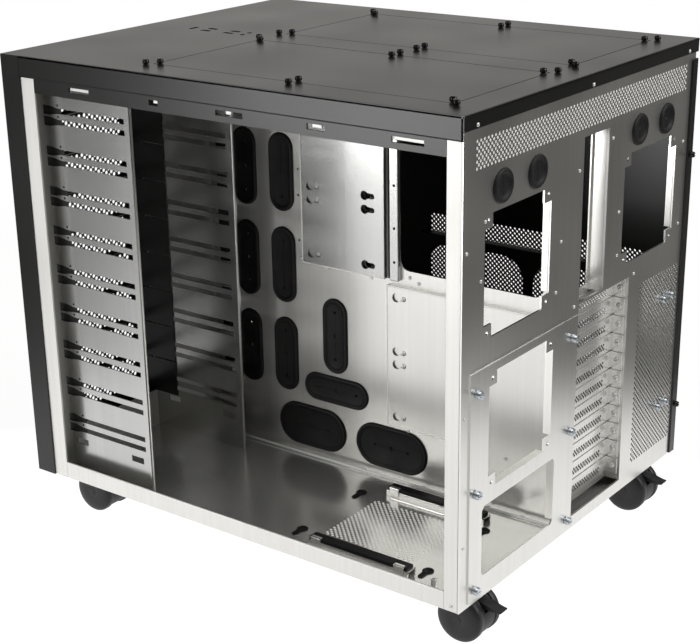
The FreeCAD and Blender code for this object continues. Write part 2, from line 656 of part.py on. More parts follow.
def make_rear_panel():
    """Folded rear sheet: posts, fan openings, hose holes, windows and perforated fields."""
    panel = new_body("rear_panel")
    section = [("-skin", "rear"), ("skin", "rear"), ("skin", "rear - rear_post"),
               ("skin - wall", "rear - rear_post"), ("skin - wall", "rear - wall"),
               ("wall - skin", "rear - wall"), ("wall - skin", "rear - rear_post"),
               ("-skin", "rear - rear_post")]
    pad(panel, "XY", "base", "case_height - wall", section)
    for x, z in fan_places():
        fold_edge(panel, f"{x} - fan_opening / 2", z, "fan_opening - 2 * fan_tab", "rear - wall")
    openings = [outline for x, z in fan_places() for outline in fan_outlines(x, z)]
    openings += [disc(x, z, "grommet_hole") for x, z in hose_places()]
    cut(panel, "XZ", "rear - wall", "wall", *openings)
    plate_side = "plate_width / 2 - plate_overlap"
    cut(panel, "XZ", "rear - wall", "wall",
        rect("-port_wall", "port_low - port_margin", "port_edge + port_margin", "port_high + port_margin"),
        rect("-slot_shelf", "slots_low - bracket_margin", "port_edge + port_margin",
             "port_low - 2 * port_margin"),
        rect(f"plate_middle - ({plate_side})", "plate_low + plate_overlap",
             f"plate_middle + {plate_side}", "plate_low + plate_height - plate_overlap_end"))
    perforate(panel, "XZ", "rear - wall", "wall", "-strip_width / 2", "top - strip_drop",
              "strip_width", "strip_height", "strip_hole", STRIP_COLUMNS, STRIP_ROWS)
    perforate(panel, "XZ", "rear - wall", "wall", "-field_side", "base + field_rise",
              "field_width", "field_height", "field_hole", FIELD_COLUMNS, FIELD_ROWS)
    cut(panel, "XZ", "rear - wall", "wall", *screw_holes(field_screw_places()))


def perforate(body, plane, at, depth, u, v, width, height, hole, columns, rows):
    """Coarse grid of square holes that stands for a fine perforation."""
    u_step, v_step = f"({width}) / {columns}", f"({height}) / {rows}"
    first = cut(body, plane, at, depth, block(f"{u} + {u_step} / 2", f"{v} + {v_step} / 2", hole, hole))
    return repeat(body, first, u_step, columns, v_step, rows)


def make_slot_bracket():
    """Recessed sheet behind the rear panel: slot windows, screw shelf and port window."""
    bracket = new_body("slot_bracket")
    low, split, high = "slots_low - bracket_margin", "port_low - 2 * port_margin", "port_high + port_margin"
    outline = [("-slot_shelf - thin", low), ("bracket_end", low), ("bracket_end", high),
               ("-port_wall - thin", high), ("-port_wall - thin", split), ("-slot_shelf - thin", split)]
    pad(bracket, "XZ", "recess - thin", "thin", outline)
    fold = "rear - wall - recess"
    pad(bracket, "XZ", "recess", fold, rect("-slot_shelf - thin", low, "-slot_shelf", split))
    pad(bracket, "XZ", "recess", fold, rect("-port_wall - thin", split, "-port_wall", high))
    pad(bracket, "XZ", "recess", fold, rect("bracket_end - thin", low, "bracket_end", high))
    cut(bracket, "XZ", "recess - thin", "thin",
        rect("port_edge - port_width", "port_low", "port_edge", "port_high"))
    window = cut(bracket, "XZ", "recess - thin", "thin", block(
        "slot_pitch / 2 + slot_mouth_length / 2 - slot_shelf", "slots_low + slot_cover_width / 2",
        "slot_mouth_length", "slot_mouth"))
    repeat(bracket, window, "0", 1, "slot_pitch", SLOTS)
    hole = cut(bracket, "YZ", "-slot_shelf - thin", "thin", *screw_holes([slot_screw_place()]))
    repeat(bracket, hole, "0", 1, "slot_pitch", SLOTS)


def slot_screw_place():
    """Screw of the lowest slot on the shelf, along and up."""
    return ("recess + slot_tab / 2 + slot_cover_sheet", "slots_low + slot_cover_width / 2")


def make_slot_covers():
    """Perforated slot covers, each with a tab bent out over the screw shelf."""
    for slot in range(SLOTS):
        cover = new_body("slot_cover_%02d" % (slot + 1))
        low = f"slots_low + {slot} * slot_pitch"
        start = "-slot_shelf"
        section = [(start, "recess"), (f"{start} + slot_cover_length", "recess"),
                   (f"{start} + slot_cover_length", "recess + slot_cover_sheet"),
                   (f"{start} + slot_cover_sheet", "recess + slot_cover_sheet"),
                   (f"{start} + slot_cover_sheet", "recess + slot_tab"), (start, "recess + slot_tab")]
        pad(cover, "XY", low, "slot_cover_width", section)
        y, z = slot_screw_place()
        cut(cover, "YZ", start, "slot_cover_sheet", *screw_holes([(y, f"{z} + {slot} * slot_pitch")]))
        perforate(cover, "XZ", "recess", "slot_cover_sheet", f"{start} + slot_pitch",
                  f"{low} + slot_cover_width / 4", "slot_mouth_length - slot_pitch", "slot_cover_width / 2",
                  "slot_vent", SLOT_VENTS, 1)


def make_rear_plate():
    """Removable plate over the rear window: fan opening above, power supply opening below."""
    plate = new_body("rear_plate")
    side = "plate_width / 2"
    pad(plate, "XZ", "rear", "thin", rect(
        f"plate_middle - {side}", "plate_low", f"plate_middle + {side}", "plate_low + plate_height"))
    fan_middle, fan_reach = "base + plate_fan_rise", "(fan_opening / 2 - fan_tab)"
    fold_edge(plate, "plate_opening_middle - fan_opening / 2", fan_middle, f"2 * {fan_reach}", "rear")
    fold_edge(plate, "plate_opening_middle - supply_width / 2", "base + supply_rise + supply_height / 2",
              "supply_height - 2 * supply_corner", "rear")
    pad(plate, "XY", f"{fan_middle} - fan_opening / 2 - thin", "thin", block(
        "plate_opening_middle", "rear - fan_lip / 2", f"2 * {fan_reach}", "fan_lip"))
    supply = chamfered("plate_opening_middle", "base + supply_rise + supply_height / 2",
                       "supply_width", "supply_height", "supply_corner")
    fan = fan_outlines("plate_opening_middle", fan_middle)
    cut(plate, "XZ", "rear", "thin", supply, *fan, *screw_holes(plate_screw_places()))


def make_tray():
    """Board tray with its foot, its service window and the grommet holes."""
    tray = new_body("motherboard_tray")
    sheet_outline = rect("rear - tray_length", "floor", "recess - thin", "roof - thin")
    pad(tray, "YZ", "tray_offset - thin", "thin", sheet_outline)
    foot = rect("tray_offset", "rear - tray_length", "tray_offset + tray_foot", "recess - thin")
    pad(tray, "XY", "floor", "thin", foot)
    low, high = "base + window_rise", "base + window_rise + window_height"
    front_edge, rear_edge = "rear - window_front", "rear - window_rear"
    window = [(f"{front_edge} + window_corner", low), (rear_edge, low), (rear_edge, high),
              (front_edge, high), (front_edge, f"{low} + window_corner")]
    cut(tray, "YZ", "tray_offset - thin", "thin", window, *ovals("-rubber"))


def oval_places():
    """Centre and size of each tray grommet."""
    places = [(f"rear - {column}", f"base + oval_rise + {row} * oval_pitch", "oval_wide", "oval_long")
              for column in ("oval_front", "oval_rear") for row in range(COLUMN_ROWS)]
    places.append(("rear - middle_oval", "base + middle_oval_rise", "oval_wide", "oval_long"))
    places.append(("rear - middle_oval", "base + flat_oval_rise", "oval_long", "oval_wide"))
    places += [(f"rear - {y}", "base + large_rise", "large_long", "large_wide")
               for y in ("large_front", "large_rear")]
    return places


def ovals(margin):
    """Outlines of the tray grommets, grown by a margin all round."""
    return [(y, z, f"{length} + 2 * ({margin})", f"{height} + 2 * ({margin})")
            for y, z, length, height in oval_places()]


def make_tray_grommets():
    """Rubber grommets of the tray: a neck in each hole, a rim on each face and a slit."""
    grommets = new_body("tray_grommets")
    back, thickness = "tray_offset - thin - rubber", "thin + 2 * rubber"
    pad(grommets, "YZ", back, thickness, *ovals("-rubber - gap"))
    pad(grommets, "YZ", "tray_offset", "rubber", *ovals("0"))
    pad(grommets, "YZ", back, "rubber", *ovals("0"))
    slits = []
    for y, z, length, height in oval_places():
        if amount(length) > amount(height):
            slits.append(block(y, z, f"{length} - {height}", "slit"))
        else:
            slits.append(block(y, z, "slit", f"{height} - {length}"))
    cut(grommets, "YZ", back, thickness, *slits)


def make_tray_plates():
    """Two plates screwed to the tray, with a row of keyholes at each side."""
    for label, front_edge, rise in (("tray_plate_upper", "upper_plate_front", "upper_plate_rise"),
                                    ("tray_plate_lower", "lower_plate_front", "lower_plate_rise")):
        plate = new_body(label)
        y, z = f"rear - {front_edge}", f"base + {rise}"
        pad(plate, "YZ", "tray_offset", "tray_plate_sheet",
            rect(y, z, f"{y} + tray_plate_width", f"{z} + tray_plate_height"))
        middle = f"{z} + tray_plate_height / 2"
        heights = (f"{z} + key_margin", f"{middle} - key_pair / 2", f"{middle} + key_pair / 2",
                   f"{z} + tray_plate_height - key_margin")
        sides = (f"{y} + key_margin", f"{y} + tray_plate_width - key_tail - key_margin")
        spots = [(side, height) for side in sides for height in heights]
        cut(plate, "YZ", "tray_offset", "tray_plate_sheet", *[disc(*spot, "key_hole") for spot in spots])
        cut(plate, "YZ", "tray_offset", "tray_plate_sheet", *[
            block(f"{side} + key_tail / 2", height, "key_tail", "key_slot") for side, height in spots])


def top_windows(grow):
    """Outlines of the two top windows, larger by a margin all round."""
    middle = "rear - top_window_rear - top_window_length / 2"
    window = block("top_window_inner + top_window_width / 2", middle,
                   f"top_window_width + 2 * ({grow})", f"top_window_length + 2 * ({grow})")
    return [mirrored(window, side) for side in (1, -1)]


def port_outlines():
    """Slots and jack holes of the top ports."""
    slots = [block(f"{side} * usb_gap / 2", f"rear - {y}", "usb_wide", "usb_long")
             for y in ("usb_first", "usb_second") for side in (1, -1)]
    slots.append(block("0", "rear - usb_third", "usb_long", "usb_wide"))
    jacks = [disc(f"{side} * usb_gap / 2", "rear - jack_rear", "jack_hole") for side in (1, -1)]
    return slots + jacks


def make_top_cover():
    """Top sheet with side and rear skirts, two windows on ledges and the port slots."""
    cover = new_body("top_cover")
    depth = "rear + wall - face"
    pad(cover, "XY", "roof", "wall", rect("-right", "face", "right", "rear + wall"))
    for side in (1, -1):
        skirt = mirrored(rect("skin", "top - skirt", "right", "roof"), side)
        pad(cover, "XZ", "face", depth, skirt)
    pad(cover, "XZ", "rear", "wall", rect("-skin", "top - rear_skirt", "skin", "roof"))
    pad(cover, "XY", "roof - thin", "thin", *top_windows("ledge"))
    cut(cover, "XY", "roof - thin", "wall + thin", *top_windows("-ledge"))
    cut(cover, "XY", "roof", "wall", *top_windows("0"))
    screws = top_screw_places(1, -1) + top_screw_places(-1, -1)
    cut(cover, "XY", "roof", "wall", *port_outlines(), *screw_holes(screws))


def make_top_panels():
    """Removable panels that lie flush in the top windows."""
    outlines = top_windows("-gap")
    for label, side, outline in zip(("top_panel_right", "top_panel_left"), (1, -1), outlines):
        pad(new_body(label), "XY", "roof", "wall", outline, *screw_holes(top_screw_places(side, 1)))


def make_port_block():
    """Moulded block with the top port sockets, under the top cover."""
    ports = new_body("port_block")
    middle = "rear - (usb_third + jack_rear) / 2"
    pad(ports, "XY", "roof - port_block_height", "port_block_height",
        block("0", middle, "port_block_width", "port_block_length"))
    cut(ports, "XY", "roof - port_block_height + wall", "port_block_height - wall", *port_outlines())


def make_side_rails():
    """Black rails under the skirts, with slots for a side panel's hooks."""
    low, middle = "top - skirt - rail_drop", "(face + front_post + rear - rear_post) / 2"
    for label, side in (("side_rail_right", 1), ("side_rail_left", -1)):
        rail = new_body(label)
        section = [("skin - rail_shelf", "roof"), ("skin", "roof"), ("skin", low), ("skin - wall", low),
                   ("skin - wall", "roof - wall"), ("skin - rail_shelf", "roof - wall")]
        pad(rail, "XZ", "face + front_post", "rear - rear_post - face - front_post", mirrored(section, side))
        slots = [block(f"{middle} + {step} * rail_slot_pitch", f"{low} + rail_drop / 2",
                       "rail_slot_long" if step % 2 == 0 else "rail_slot_short", "rail_slot_height")
                 for step in range(-2, 3)]
        cut(rail, "YZ", "skin - wall" if side > 0 else "-skin", "wall", *slots)


def make_side_panel():
    """Far side panel with a fold behind the rear panel and a perforated field."""
    panel = new_body("side_panel")
    section = [("-right", "face"), ("-skin", "face"), ("-skin", "rear"),
               ("panel_flange - right", "rear"), ("panel_flange - right", "rear + wall"),
               ("-right", "rear + wall")]
    pad(panel, "XY", "base", "case_height - skirt", section)
    perforate(panel, "YZ", "-right", "wall", "rear - mesh_rear - mesh_length", "base + mesh_rise",
              "mesh_length", "mesh_height", "mesh_hole", MESH_COLUMNS, MESH_ROWS)
    cut(panel, "XZ", "rear", "wall", *screw_holes(panel_screw_places()))


def make_side_fan_bracket():
    """Black bracket for two fans, folded back to the far side panel."""
    bracket = new_body("side_fan_bracket")
    low = "base + side_fan_rise - side_bracket_height / 2"
    high = f"{low} + side_bracket_height"
    web = "side_bracket_depth - skin"
    section = [("-skin", low), (web, low), (web, high), ("-skin", high), ("-skin", f"{high} - thin"),
               (f"{web} - thin", f"{high} - thin"), (f"{web} - thin", f"{low} + thin"),
               ("-skin", f"{low} + thin")]
    pad(bracket, "XZ", "rear - side_fan_rear - side_bracket_length / 2", "side_bracket_length", section)
    cut(bracket, "YZ", f"{web} - thin", "thin", *[
        chamfered(f"rear - side_fan_rear + {side} * side_fan_pitch / 2", "base + side_fan_rise",
                  "side_fan_hole", "side_fan_height", "side_fan_corner") for side in (1, -1)])


def rest_places():
    """Middle of each power supply rest."""
    return [("psu_rest_near", "vent_middle + rest_pitch / 2"),
            ("psu_rest_far", "vent_middle - rest_pitch / 2")]


def make_rests():
    """Folded power supply rests and their rubber strips."""
    start = "rear - rest_rear - rest_length / 2"
    for label, x in rest_places():
        rest = new_body(label)
        half = "rest_width / 2"
        section = [(f"{x} - {half}", "floor"), (f"{x} - {half} + thin", "floor"),
                   (f"{x} - {half} + thin", "floor + rest_height - thin"),
                   (f"{x} + {half} - thin", "floor + rest_height - thin"), (f"{x} + {half} - thin", "floor"),
                   (f"{x} + {half}", "floor"), (f"{x} + {half}", "floor + rest_height"),
                   (f"{x} - {half}", "floor + rest_height")]
        pad(rest, "XZ", start, "rest_length", section)
    pads = new_body("psu_rest_pads")
    strips = [block(x, "floor + rest_height + pad_height / 2", "rest_width - 4 * thin", "pad_height")
              for label, x in rest_places()]
    pad(pads, "XZ", f"{start} + rest_width", "rest_length - 2 * rest_width", *strips)


def make_round_grommets():
    """Rubber grommets of the rear panel and of the floor, each with a slit or bore."""
    rear = new_body("rear_grommets")
    pad(rear, "XZ", "rear - wall - rubber", "wall + 2 * rubber",
        *[disc(x, z, "grommet_hole - 2 * gap") for x, z in hose_places()])
    pad(rear, "XZ", "rear", "rubber", *[disc(x, z, "grommet_rim") for x, z in hose_places()])
    cut(rear, "XZ", "rear - wall - rubber", "wall + 2 * rubber",
        *[(x, z, "slit", "grommet_hole - 2 * slit") for x, z in hose_places()])
    feet = new_body("floor_grommets")
    pad(feet, "XY", "base", "wall", *[disc(x, y, "foot_hole - 2 * gap") for x, y in foot_places()])
    pad(feet, "XY", "floor", "rubber / 2", *[disc(x, y, "foot_hole + rubber") for x, y in foot_places()])
    cut(feet, "XY", "base", "wall + rubber", *[disc(x, y, "foot_hole - rubber") for x, y in foot_places()])


def thumbscrew(length):
    """Thumbscrew standing on the origin: a knob with flats for the fingers, its thread running down."""
    radius = amount("screw_head / 2")
    rim = [FreeCAD.Vector(radius, 0, 0)]
    turn = FreeCAD.Rotation(FreeCAD.Vector(0, 0, 1), 360 / KNOB_FLATS)
    while len(rim) <= KNOB_FLATS:
        rim.append(turn.multVec(rim[-1]))
    knob = Part.Face(Part.makePolygon(rim)).extrude(vector("0", "0", "screw_head_height"))
    shank = Part.makeCylinder(amount("screw_shank / 2"), amount(length), vector("0", "0", f"-({length})"))
    return knob.fuse(shank)


def upright(x, y, z):
    """Place of a screw driven down."""
    return FreeCAD.Placement(vector(x, y, z), FreeCAD.Rotation())


def rearward(x, z, y):
    """Place of a screw driven in from behind."""
    return FreeCAD.Placement(vector(x, y, z), FreeCAD.Rotation(FreeCAD.Vector(1, 0, 0), -90))


def top_screw_places(side, inwards):
    """Thumbscrews round one top window, in its panel (1) or in the frame beside it (-1)."""
    back, ahead = "rear - top_window_rear", "rear - top_window_rear - top_window_length"
    places = []
    for seam, way in (("top_window_inner", inwards), ("top_window_inner + top_window_width", -inwards)):
        places.append((f"{side} * ({seam} + {way} * screw_step)", f"({back} + {ahead}) / 2"))
        for end, along in ((back, -inwards), (ahead, inwards)):
            places.append((f"{side} * ({seam} + {way} * screw_corner)", f"{end} + {along} * screw_corner"))
    return places


def panel_screw_places():
    """Thumbscrews of the far side panel, seen from behind."""
    return [("panel_screw_margin - right", f"base + panel_screw_rise + {step} * panel_screw_pitch")
            for step in (0, 1)]


def plate_screw_places():
    """Thumbscrews of the removable rear plate, seen from behind."""
    return [(f"plate_middle + {side} * (plate_width / 2 - plate_screw_margin)",
             f"plate_low + plate_screw_end + {row} * plate_screw_pitch")
            for side in (1, -1) for row in range(COLUMN_ROWS)]


def field_screw_places():
    """Thumbscrews between the perforations of the rear field, seen from behind."""
    return [(f"-field_side + {step} * field_width / {FIELD_COLUMNS}",
             f"base + field_screw_rise + {row} * field_screw_pitch")
            for step in (1, 2) for row in (0, 1)]


def screw_holes(places):
    """Clearance holes for thumbscrews."""
    return [disc(u, v, "screw_shank + 2 * gap") for u, v in places]


def make_screws():
    """Thumbscrews of the top panels, the rear plate and the side panel, and the slot screws."""
    tops = [place for side in (1, -1) for way in (1, -1) for place in top_screw_places(side, way)]
    black = [upright(x, y, "top") for x, y in tops]
    black += [rearward(x, z, "rear + wall") for x, z in panel_screw_places()]
    group("black_thumbscrews", thumbscrew("wall"), black)
    zinc = [rearward(x, z, "rear + thin") for x, z in plate_screw_places()]
    zinc += [rearward(x, z, "rear") for x, z in field_screw_places()]
    group("zinc_thumbscrews", thumbscrew("thin"), zinc)
    y, z = slot_screw_place()
    turn = FreeCAD.Rotation(FreeCAD.Vector(0, 1, 0), 90)
    slots = [FreeCAD.Placement(vector("slot_cover_sheet - slot_shelf", y, f"{z} + {slot} * slot_pitch"), turn)
             for slot in range(SLOTS)]
    group("slot_screws", thumbscrew("slot_cover_sheet + thin"), slots)


CASTERS = {"rear_right": (1, 1), "rear_left": (-1, 1), "front_right": (1, -1), "front_left": (-1, -1)}


def caster_place(side, end):
    """Stem of one caster at the chassis bottom."""
    y = "rear - caster_inset_y" if end > 0 else "face + caster_inset_y"
    return f"{side} * (right - caster_inset_x)", y, "base"


def make_caster_plates():
    """Fixing plates with stems, screwed under the base pan."""
    plate = Part.makeCylinder(amount("caster_plate / 2"), amount("caster_plate_height"),
                              vector("0", "0", "-caster_plate_height"))
    stem = Part.makeCylinder(amount("stem / 2"), amount("stem_length"),
                             vector("0", "0", "-caster_plate_height - stem_length"))
    solid = plate.fuse(stem).removeSplitter()
    group("caster_plates", solid, [upright(*caster_place(*spot)) for spot in CASTERS.values()])


def make_hood(name, side, end):
    """Swivelling hood: a drum round the axle, a neck with the stem bore and the axle ends."""
    hood = new_body("caster_hood_" + name)
    half = "hood_width / 2"
    head = "-caster_plate_height - gap"
    pad(hood, "YZ", f"-{half}", "hood_width", disc("caster_trail", "axle_z", "hood"))
    pad(hood, "YZ", f"-{half}", "hood_width", [
        ("-hood_neck", "axle_z"), ("caster_trail", "axle_z"), ("caster_trail + hood / 4", head),
        ("-hood_neck", head)])
    cut(hood, "YZ", f"-{half}", "hood_width", rect("-hood", "-caster_height", "2 * hood", "hood_low"))
    cut(hood, "XY", "-caster_plate_height - stem_length - gap", "stem_length + 2 * gap",
        disc("0", "0", "stem + 2 * running"))
    if end > 0:
        room = "lever_thick / 2 + lever_room"
        cut(hood, "YZ", "-lever_width / 2 - gap", "lever_width + 2 * gap", [
            (f"pivot_y - ({room})", f"pivot_z - ({room})"), ("pivot_y", f"pivot_z - ({room})"),
            ("pivot_y + hood", f"pivot_z - ({room}) - hood * lever_slope"), ("pivot_y + hood", "0"),
            (f"pivot_y - ({room})", "0")])
        cut(hood, "YZ", f"-{half}", "hood_width", disc("pivot_y", "pivot_z", "lever_pin + 2 * running"))
    pad(hood, "YZ", f"-{half} - wheel_gap - wheel_width", "hood_width + 2 * wheel_gap + 2 * wheel_width",
        disc("caster_trail", "axle_z", "axle"))
    put(hood, *caster_place(side, end), turned=end < 0)


def make_wheel(label, side, end, hand):
    """Moulded wheel with a rounded outer rim, turned about the axle."""
    wheel = new_body(label)
    inside, outside = "hood_width / 2 + wheel_gap", "hood_width / 2 + wheel_gap + wheel_width"
    bore, rim = "axle / 2 + running", "wheel / 2"
    profile = [(inside, bore), (outside, bore), (outside, f"{rim} - wheel_round"),
               (f"{outside} - wheel_round / 2", f"{rim} - wheel_round / 4"),
               (f"{outside} - wheel_round", rim), (inside, rim)]
    sketch = draw(wheel, "XY", "0", [[(f"{hand} * ({u})", v) for u, v in profile]])
    turned = wheel.newObject("PartDesign::Revolution", wheel.Name + "_turned")
    turned.Profile = sketch
    turned.ReferenceAxis = (sketch, ["H_Axis"])
    doc.recompute()
    x, y, z = caster_place(side, end)
    put(wheel, x, f"{y} + {end} * caster_trail", f"{z} + axle_z", turned=end < 0)


def make_brake_lever(name, side, end):
    """Brake pedal between the wheels, on a pin through the hood."""
    lever = new_body("brake_lever_" + name)
    half, tip = "lever_thick / 2", "caster_trail + lever_reach"
    pad(lever, "YZ", "-lever_width / 2", "lever_width", disc("pivot_y", "pivot_z", "lever_thick"))
    pad(lever, "YZ", "-lever_width / 2", "lever_width", [
        ("pivot_y", f"pivot_z - {half}"), (f"{tip} - {half}", f"pivot_z - {half} - lever_curl"),
        (tip, f"pivot_z - {half}"), (tip, "pivot_z - lever_thick / 4"), ("pivot_y", f"pivot_z + {half}")])
    pad(lever, "YZ", "-hood_width / 2", "hood_width", disc("pivot_y", "pivot_z", "lever_pin"))
    put(lever, *caster_place(side, end))


def make_casters():
    """Four casters, trailing outwards, the rear pair with brakes."""
    make_caster_plates()
    for name, (side, end) in CASTERS.items():
        make_hood(name, side, end)
        for suffix, hand in (("a", 1), ("b", -1)):
            make_wheel(f"caster_wheel_{name}_{suffix}", side, end, hand)
        if end > 0:
            make_brake_lever(name, side, end)


def check():
    """Stop on any failed object or broken sub-part."""
    doc.recompute()
    failed = [item.Name for item in doc.Objects if {"Invalid", "Error"} & set(item.State)]
    if failed:
        raise RuntimeError("failed objects: " + ", ".join(failed))
    for piece in pieces:
        if piece.Shape.isNull() or not piece.Shape.isValid() or not piece.Shape.Solids:
            raise RuntimeError("broken sub-part: " + piece.Label)


def export():
    """Write each sub-part to its own file."""
    os.makedirs("parts", exist_ok=True)
    for piece in pieces:
        solids = piece.Shape.Solids
        shape = solids[0] if len(solids) == 1 else Part.makeCompound(solids)
        shape.exportStep(os.path.join("parts", piece.Label + ".step"))


fill_sheet()
make_base_pan()
make_front_frame()
make_front_bezel()
make_buttons()
make_bay_covers()
make_bay_walls()
make_rear_panel()
make_slot_bracket()
make_slot_covers()
make_rear_plate()
make_tray()
make_tray_grommets()
make_tray_plates()
make_top_cover()
make_top_panels()
make_port_block()
make_side_rails()
make_side_panel()
make_side_fan_bracket()
make_rests()
make_round_grommets()
make_screws()
make_casters()
check()
export()
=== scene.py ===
"""Looks of a wide tower PC case on casters: fine perforation, turned screws, rubber and finishes.

Lengths are metres, +Z up, front towards -Y, open side towards +X.
"""

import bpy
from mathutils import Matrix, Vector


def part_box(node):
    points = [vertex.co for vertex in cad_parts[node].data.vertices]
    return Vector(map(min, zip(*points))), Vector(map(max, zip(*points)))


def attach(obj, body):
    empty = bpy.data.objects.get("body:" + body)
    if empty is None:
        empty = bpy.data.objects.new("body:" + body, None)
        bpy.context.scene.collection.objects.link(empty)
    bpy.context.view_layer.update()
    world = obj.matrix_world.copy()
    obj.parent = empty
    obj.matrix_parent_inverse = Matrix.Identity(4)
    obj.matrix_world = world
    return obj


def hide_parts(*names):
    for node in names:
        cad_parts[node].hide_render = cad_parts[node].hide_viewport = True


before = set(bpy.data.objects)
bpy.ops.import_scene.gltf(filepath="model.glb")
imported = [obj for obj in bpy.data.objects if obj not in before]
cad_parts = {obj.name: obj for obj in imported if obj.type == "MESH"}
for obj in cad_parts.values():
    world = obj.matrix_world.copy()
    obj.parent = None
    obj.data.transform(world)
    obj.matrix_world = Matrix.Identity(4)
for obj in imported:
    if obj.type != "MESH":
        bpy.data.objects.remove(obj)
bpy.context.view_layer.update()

import math

import bmesh
import bpy
from bpy.props import FloatProperty, FloatVectorProperty, IntProperty, PointerProperty
from mathutils import Matrix, Vector

bl_info = {
    "name": "Tower PC case",
    "version": (1, 0, 0),
    "blender": (4, 5, 0),
    "location": "View3D > Sidebar > PC case",
    "description": "Builds the looks of a tower PC case on casters round its construction model",
    "category": "Object",
}

MM = 0.001
BODY = "chassis"

# Gauges of the outer and the inner sheet
WALL, THIN = 2 * MM, 1.5 * MM

# Boxes and planes of the construction model
PANEL_LOW, PANEL_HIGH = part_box("rear_panel")
SIDE_LOW, SIDE_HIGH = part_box("side_panel")
PAN_LOW, PAN_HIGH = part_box("base_pan")
TOP_LOW, TOP_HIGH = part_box("top_cover")
TRAY_LOW, TRAY_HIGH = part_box("motherboard_tray")
REAR = PANEL_HIGH.y
SKIN = PANEL_HIGH.x
BASE = PANEL_LOW.z
ROOF = PANEL_HIGH.z
TOP = TOP_HIGH.z
TRAY = TRAY_LOW.x + THIN

# Counts and pitches
BAYS = 9
SLOTS = 11
BAY_PITCH = 43.4 * MM
SLOT_PITCH = 20.32 * MM

# Casters: which side and which end of the case
CASTERS = {"rear_right": (1, 1), "rear_left": (-1, 1), "front_right": (1, -1), "front_left": (-1, -1)}

# Outer points of one diamond cell round a hole, in quarter pitches
CELL = [(2, 0), (1, 1), (0, 2), (-1, 1), (-2, 0), (-1, -1), (0, -2), (1, -1)]


def linear(hex_text):
    """Linear RGBA of an sRGB hex colour."""
    channels = [int(hex_text[i:i + 2], 16) / 255 for i in (1, 3, 5)]
    return [c / 12.92 if c <= 0.04045 else ((c + 0.055) / 1.055) ** 2.4 for c in channels] + [1.0]


def length(name, description, millimetres):
    """Length property in scene units."""
    return FloatProperty(name=name, description=description, default=millimetres * MM,
                         min=0.0, unit="LENGTH", precision=4)


def colour(name, description, hex_text):
    """Colour property from an sRGB hex value."""
    return FloatVectorProperty(name=name, description=description, default=linear(hex_text),
                               size=4, min=0.0, max=1.0, subtype="COLOR")


class CaseSizes(bpy.types.PropertyGroup):
    """Sizes of the dressed pieces that a user may change."""
    hole: length("Hole", "Diameter of a perforation hole", 3.2)
    hole_pitch: length("Hole pitch", "Spacing of the holes along a row", 6.0)
    bay_hole: length("Bay cover hole", "Diameter of a hole in a bay cover", 5.0)
    bay_hole_pitch: length("Bay hole pitch", "Spacing of the holes in a bay cover", 7.9)
    slot_hole: length("Slot cover hole", "Diameter of a hole in a slot cover", 3.3)
    slot_hole_pitch: length("Slot hole pitch", "Spacing of the holes in a slot cover", 5.0)
    edge: length("Edge rounding", "Rounding of folded sheet edges", 0.5)
    fan_opening: length("Fan opening", "Width of a fan opening", 116.0)
    fan_tab: length("Fan tab", "Corner tab in a fan opening", 13.0)
    black_screw: length("Black screw", "Head diameter of a black thumbscrew", 6.8)
    zinc_screw: length("Zinc screw", "Head diameter of a zinc thumbscrew", 8.4)
    rivet: length("Rivet", "Diameter of a small screw or rivet head", 4.0)
    screw_slot: length("Screw slot", "Width of the slot in a screw head", 1.2)
    knurl: IntProperty(name="Knurl", description="Ridges round a thumbscrew head", default=20, min=6)
    rubber: length("Rubber rim", "Thickness of a grommet's rim", 3.0)
    wheel: length("Wheel", "Caster wheel diameter", 50.0)


class CaseColours(bpy.types.PropertyGroup):
    """Colours of the finishes."""
    silver: colour("Aluminium", "Clear anodised sheet", "#DAD9D5")
    # A darker grey than the aluminium colour above, for the bay walls and the upper tray plate
    greyer: colour("Greyer silver", "Darker grey sheet of the bay walls and the upper tray plate", "#BCBCBA")
    # Near-white colour of the painted highlight along folds and sheared edges
    edge: colour("Edge highlight", "Folds and sheared edges of the sheet", "#F4F4F1")
    black: colour("Black sheet", "Black anodised sheet", "#111110")
    zinc: colour("Zinc", "Plated screws", "#CBD2D7")
    rubber: colour("Rubber", "Grommets and strips", "#121212")
    fleece: colour("Fleece", "Filter behind the perforated strip", "#EFEEEA")
    moulding: colour("Moulding", "Caster hoods, levers and buttons", "#1A1A1B")
    tread: colour("Tread", "Caster wheels", "#1E1E1F")
    floor: colour("Floor", "Face of the lit studio floor", "#4F4F4E")


def sizes():
    """The scene's sizes."""
    return bpy.context.scene.pc_case_sizes


def colours():
    """The scene's colours."""
    return bpy.context.scene.pc_case_colours


def add_node(tree, kind, inputs=None, **settings):
    """Add a shader node with its settings, and fill or link its inputs."""
    made = tree.nodes.new(kind)
    for key, value in settings.items():
        setattr(made, key, value)
    for key, value in (inputs or {}).items():
        if isinstance(value, bpy.types.NodeSocket):
            tree.links.new(value, made.inputs[key])
        else:
            made.inputs[key].default_value = value
    return made


def new_surface(name, **values):
    """New material with its tree and shader, the shader's even values set on its own sockets."""
    material = bpy.data.materials.new(name)
    material.use_nodes = True
    tree = material.node_tree
    shader = tree.nodes["Principled BSDF"]
    for key, value in values.items():
        shader.inputs[key.replace("_", " ")].default_value = value
    return material, tree, shader


def dress(tree, shader, base, pattern, shade, span, rough, strength, depth):
    """Lay a pattern on a surface as a darker tint and as relief, and link its roughness."""
    tint = add_node(tree, "ShaderNodeValToRGB", {"Fac": pattern})
    dark = [channel * shade for channel in base[:3]] + [1.0]
    for stop, position, paint in zip(tint.color_ramp.elements, span, (dark, base)):
        stop.position, stop.color = position, paint
    relief = add_node(tree, "ShaderNodeBump", {"Height": pattern, "Strength": strength, "Distance": depth})
    for socket, source in (("Base Color", tint.outputs["Color"]), ("Roughness", rough),
                           ("Normal", relief.outputs["Normal"])):
        tree.links.new(source, shader.inputs[socket])


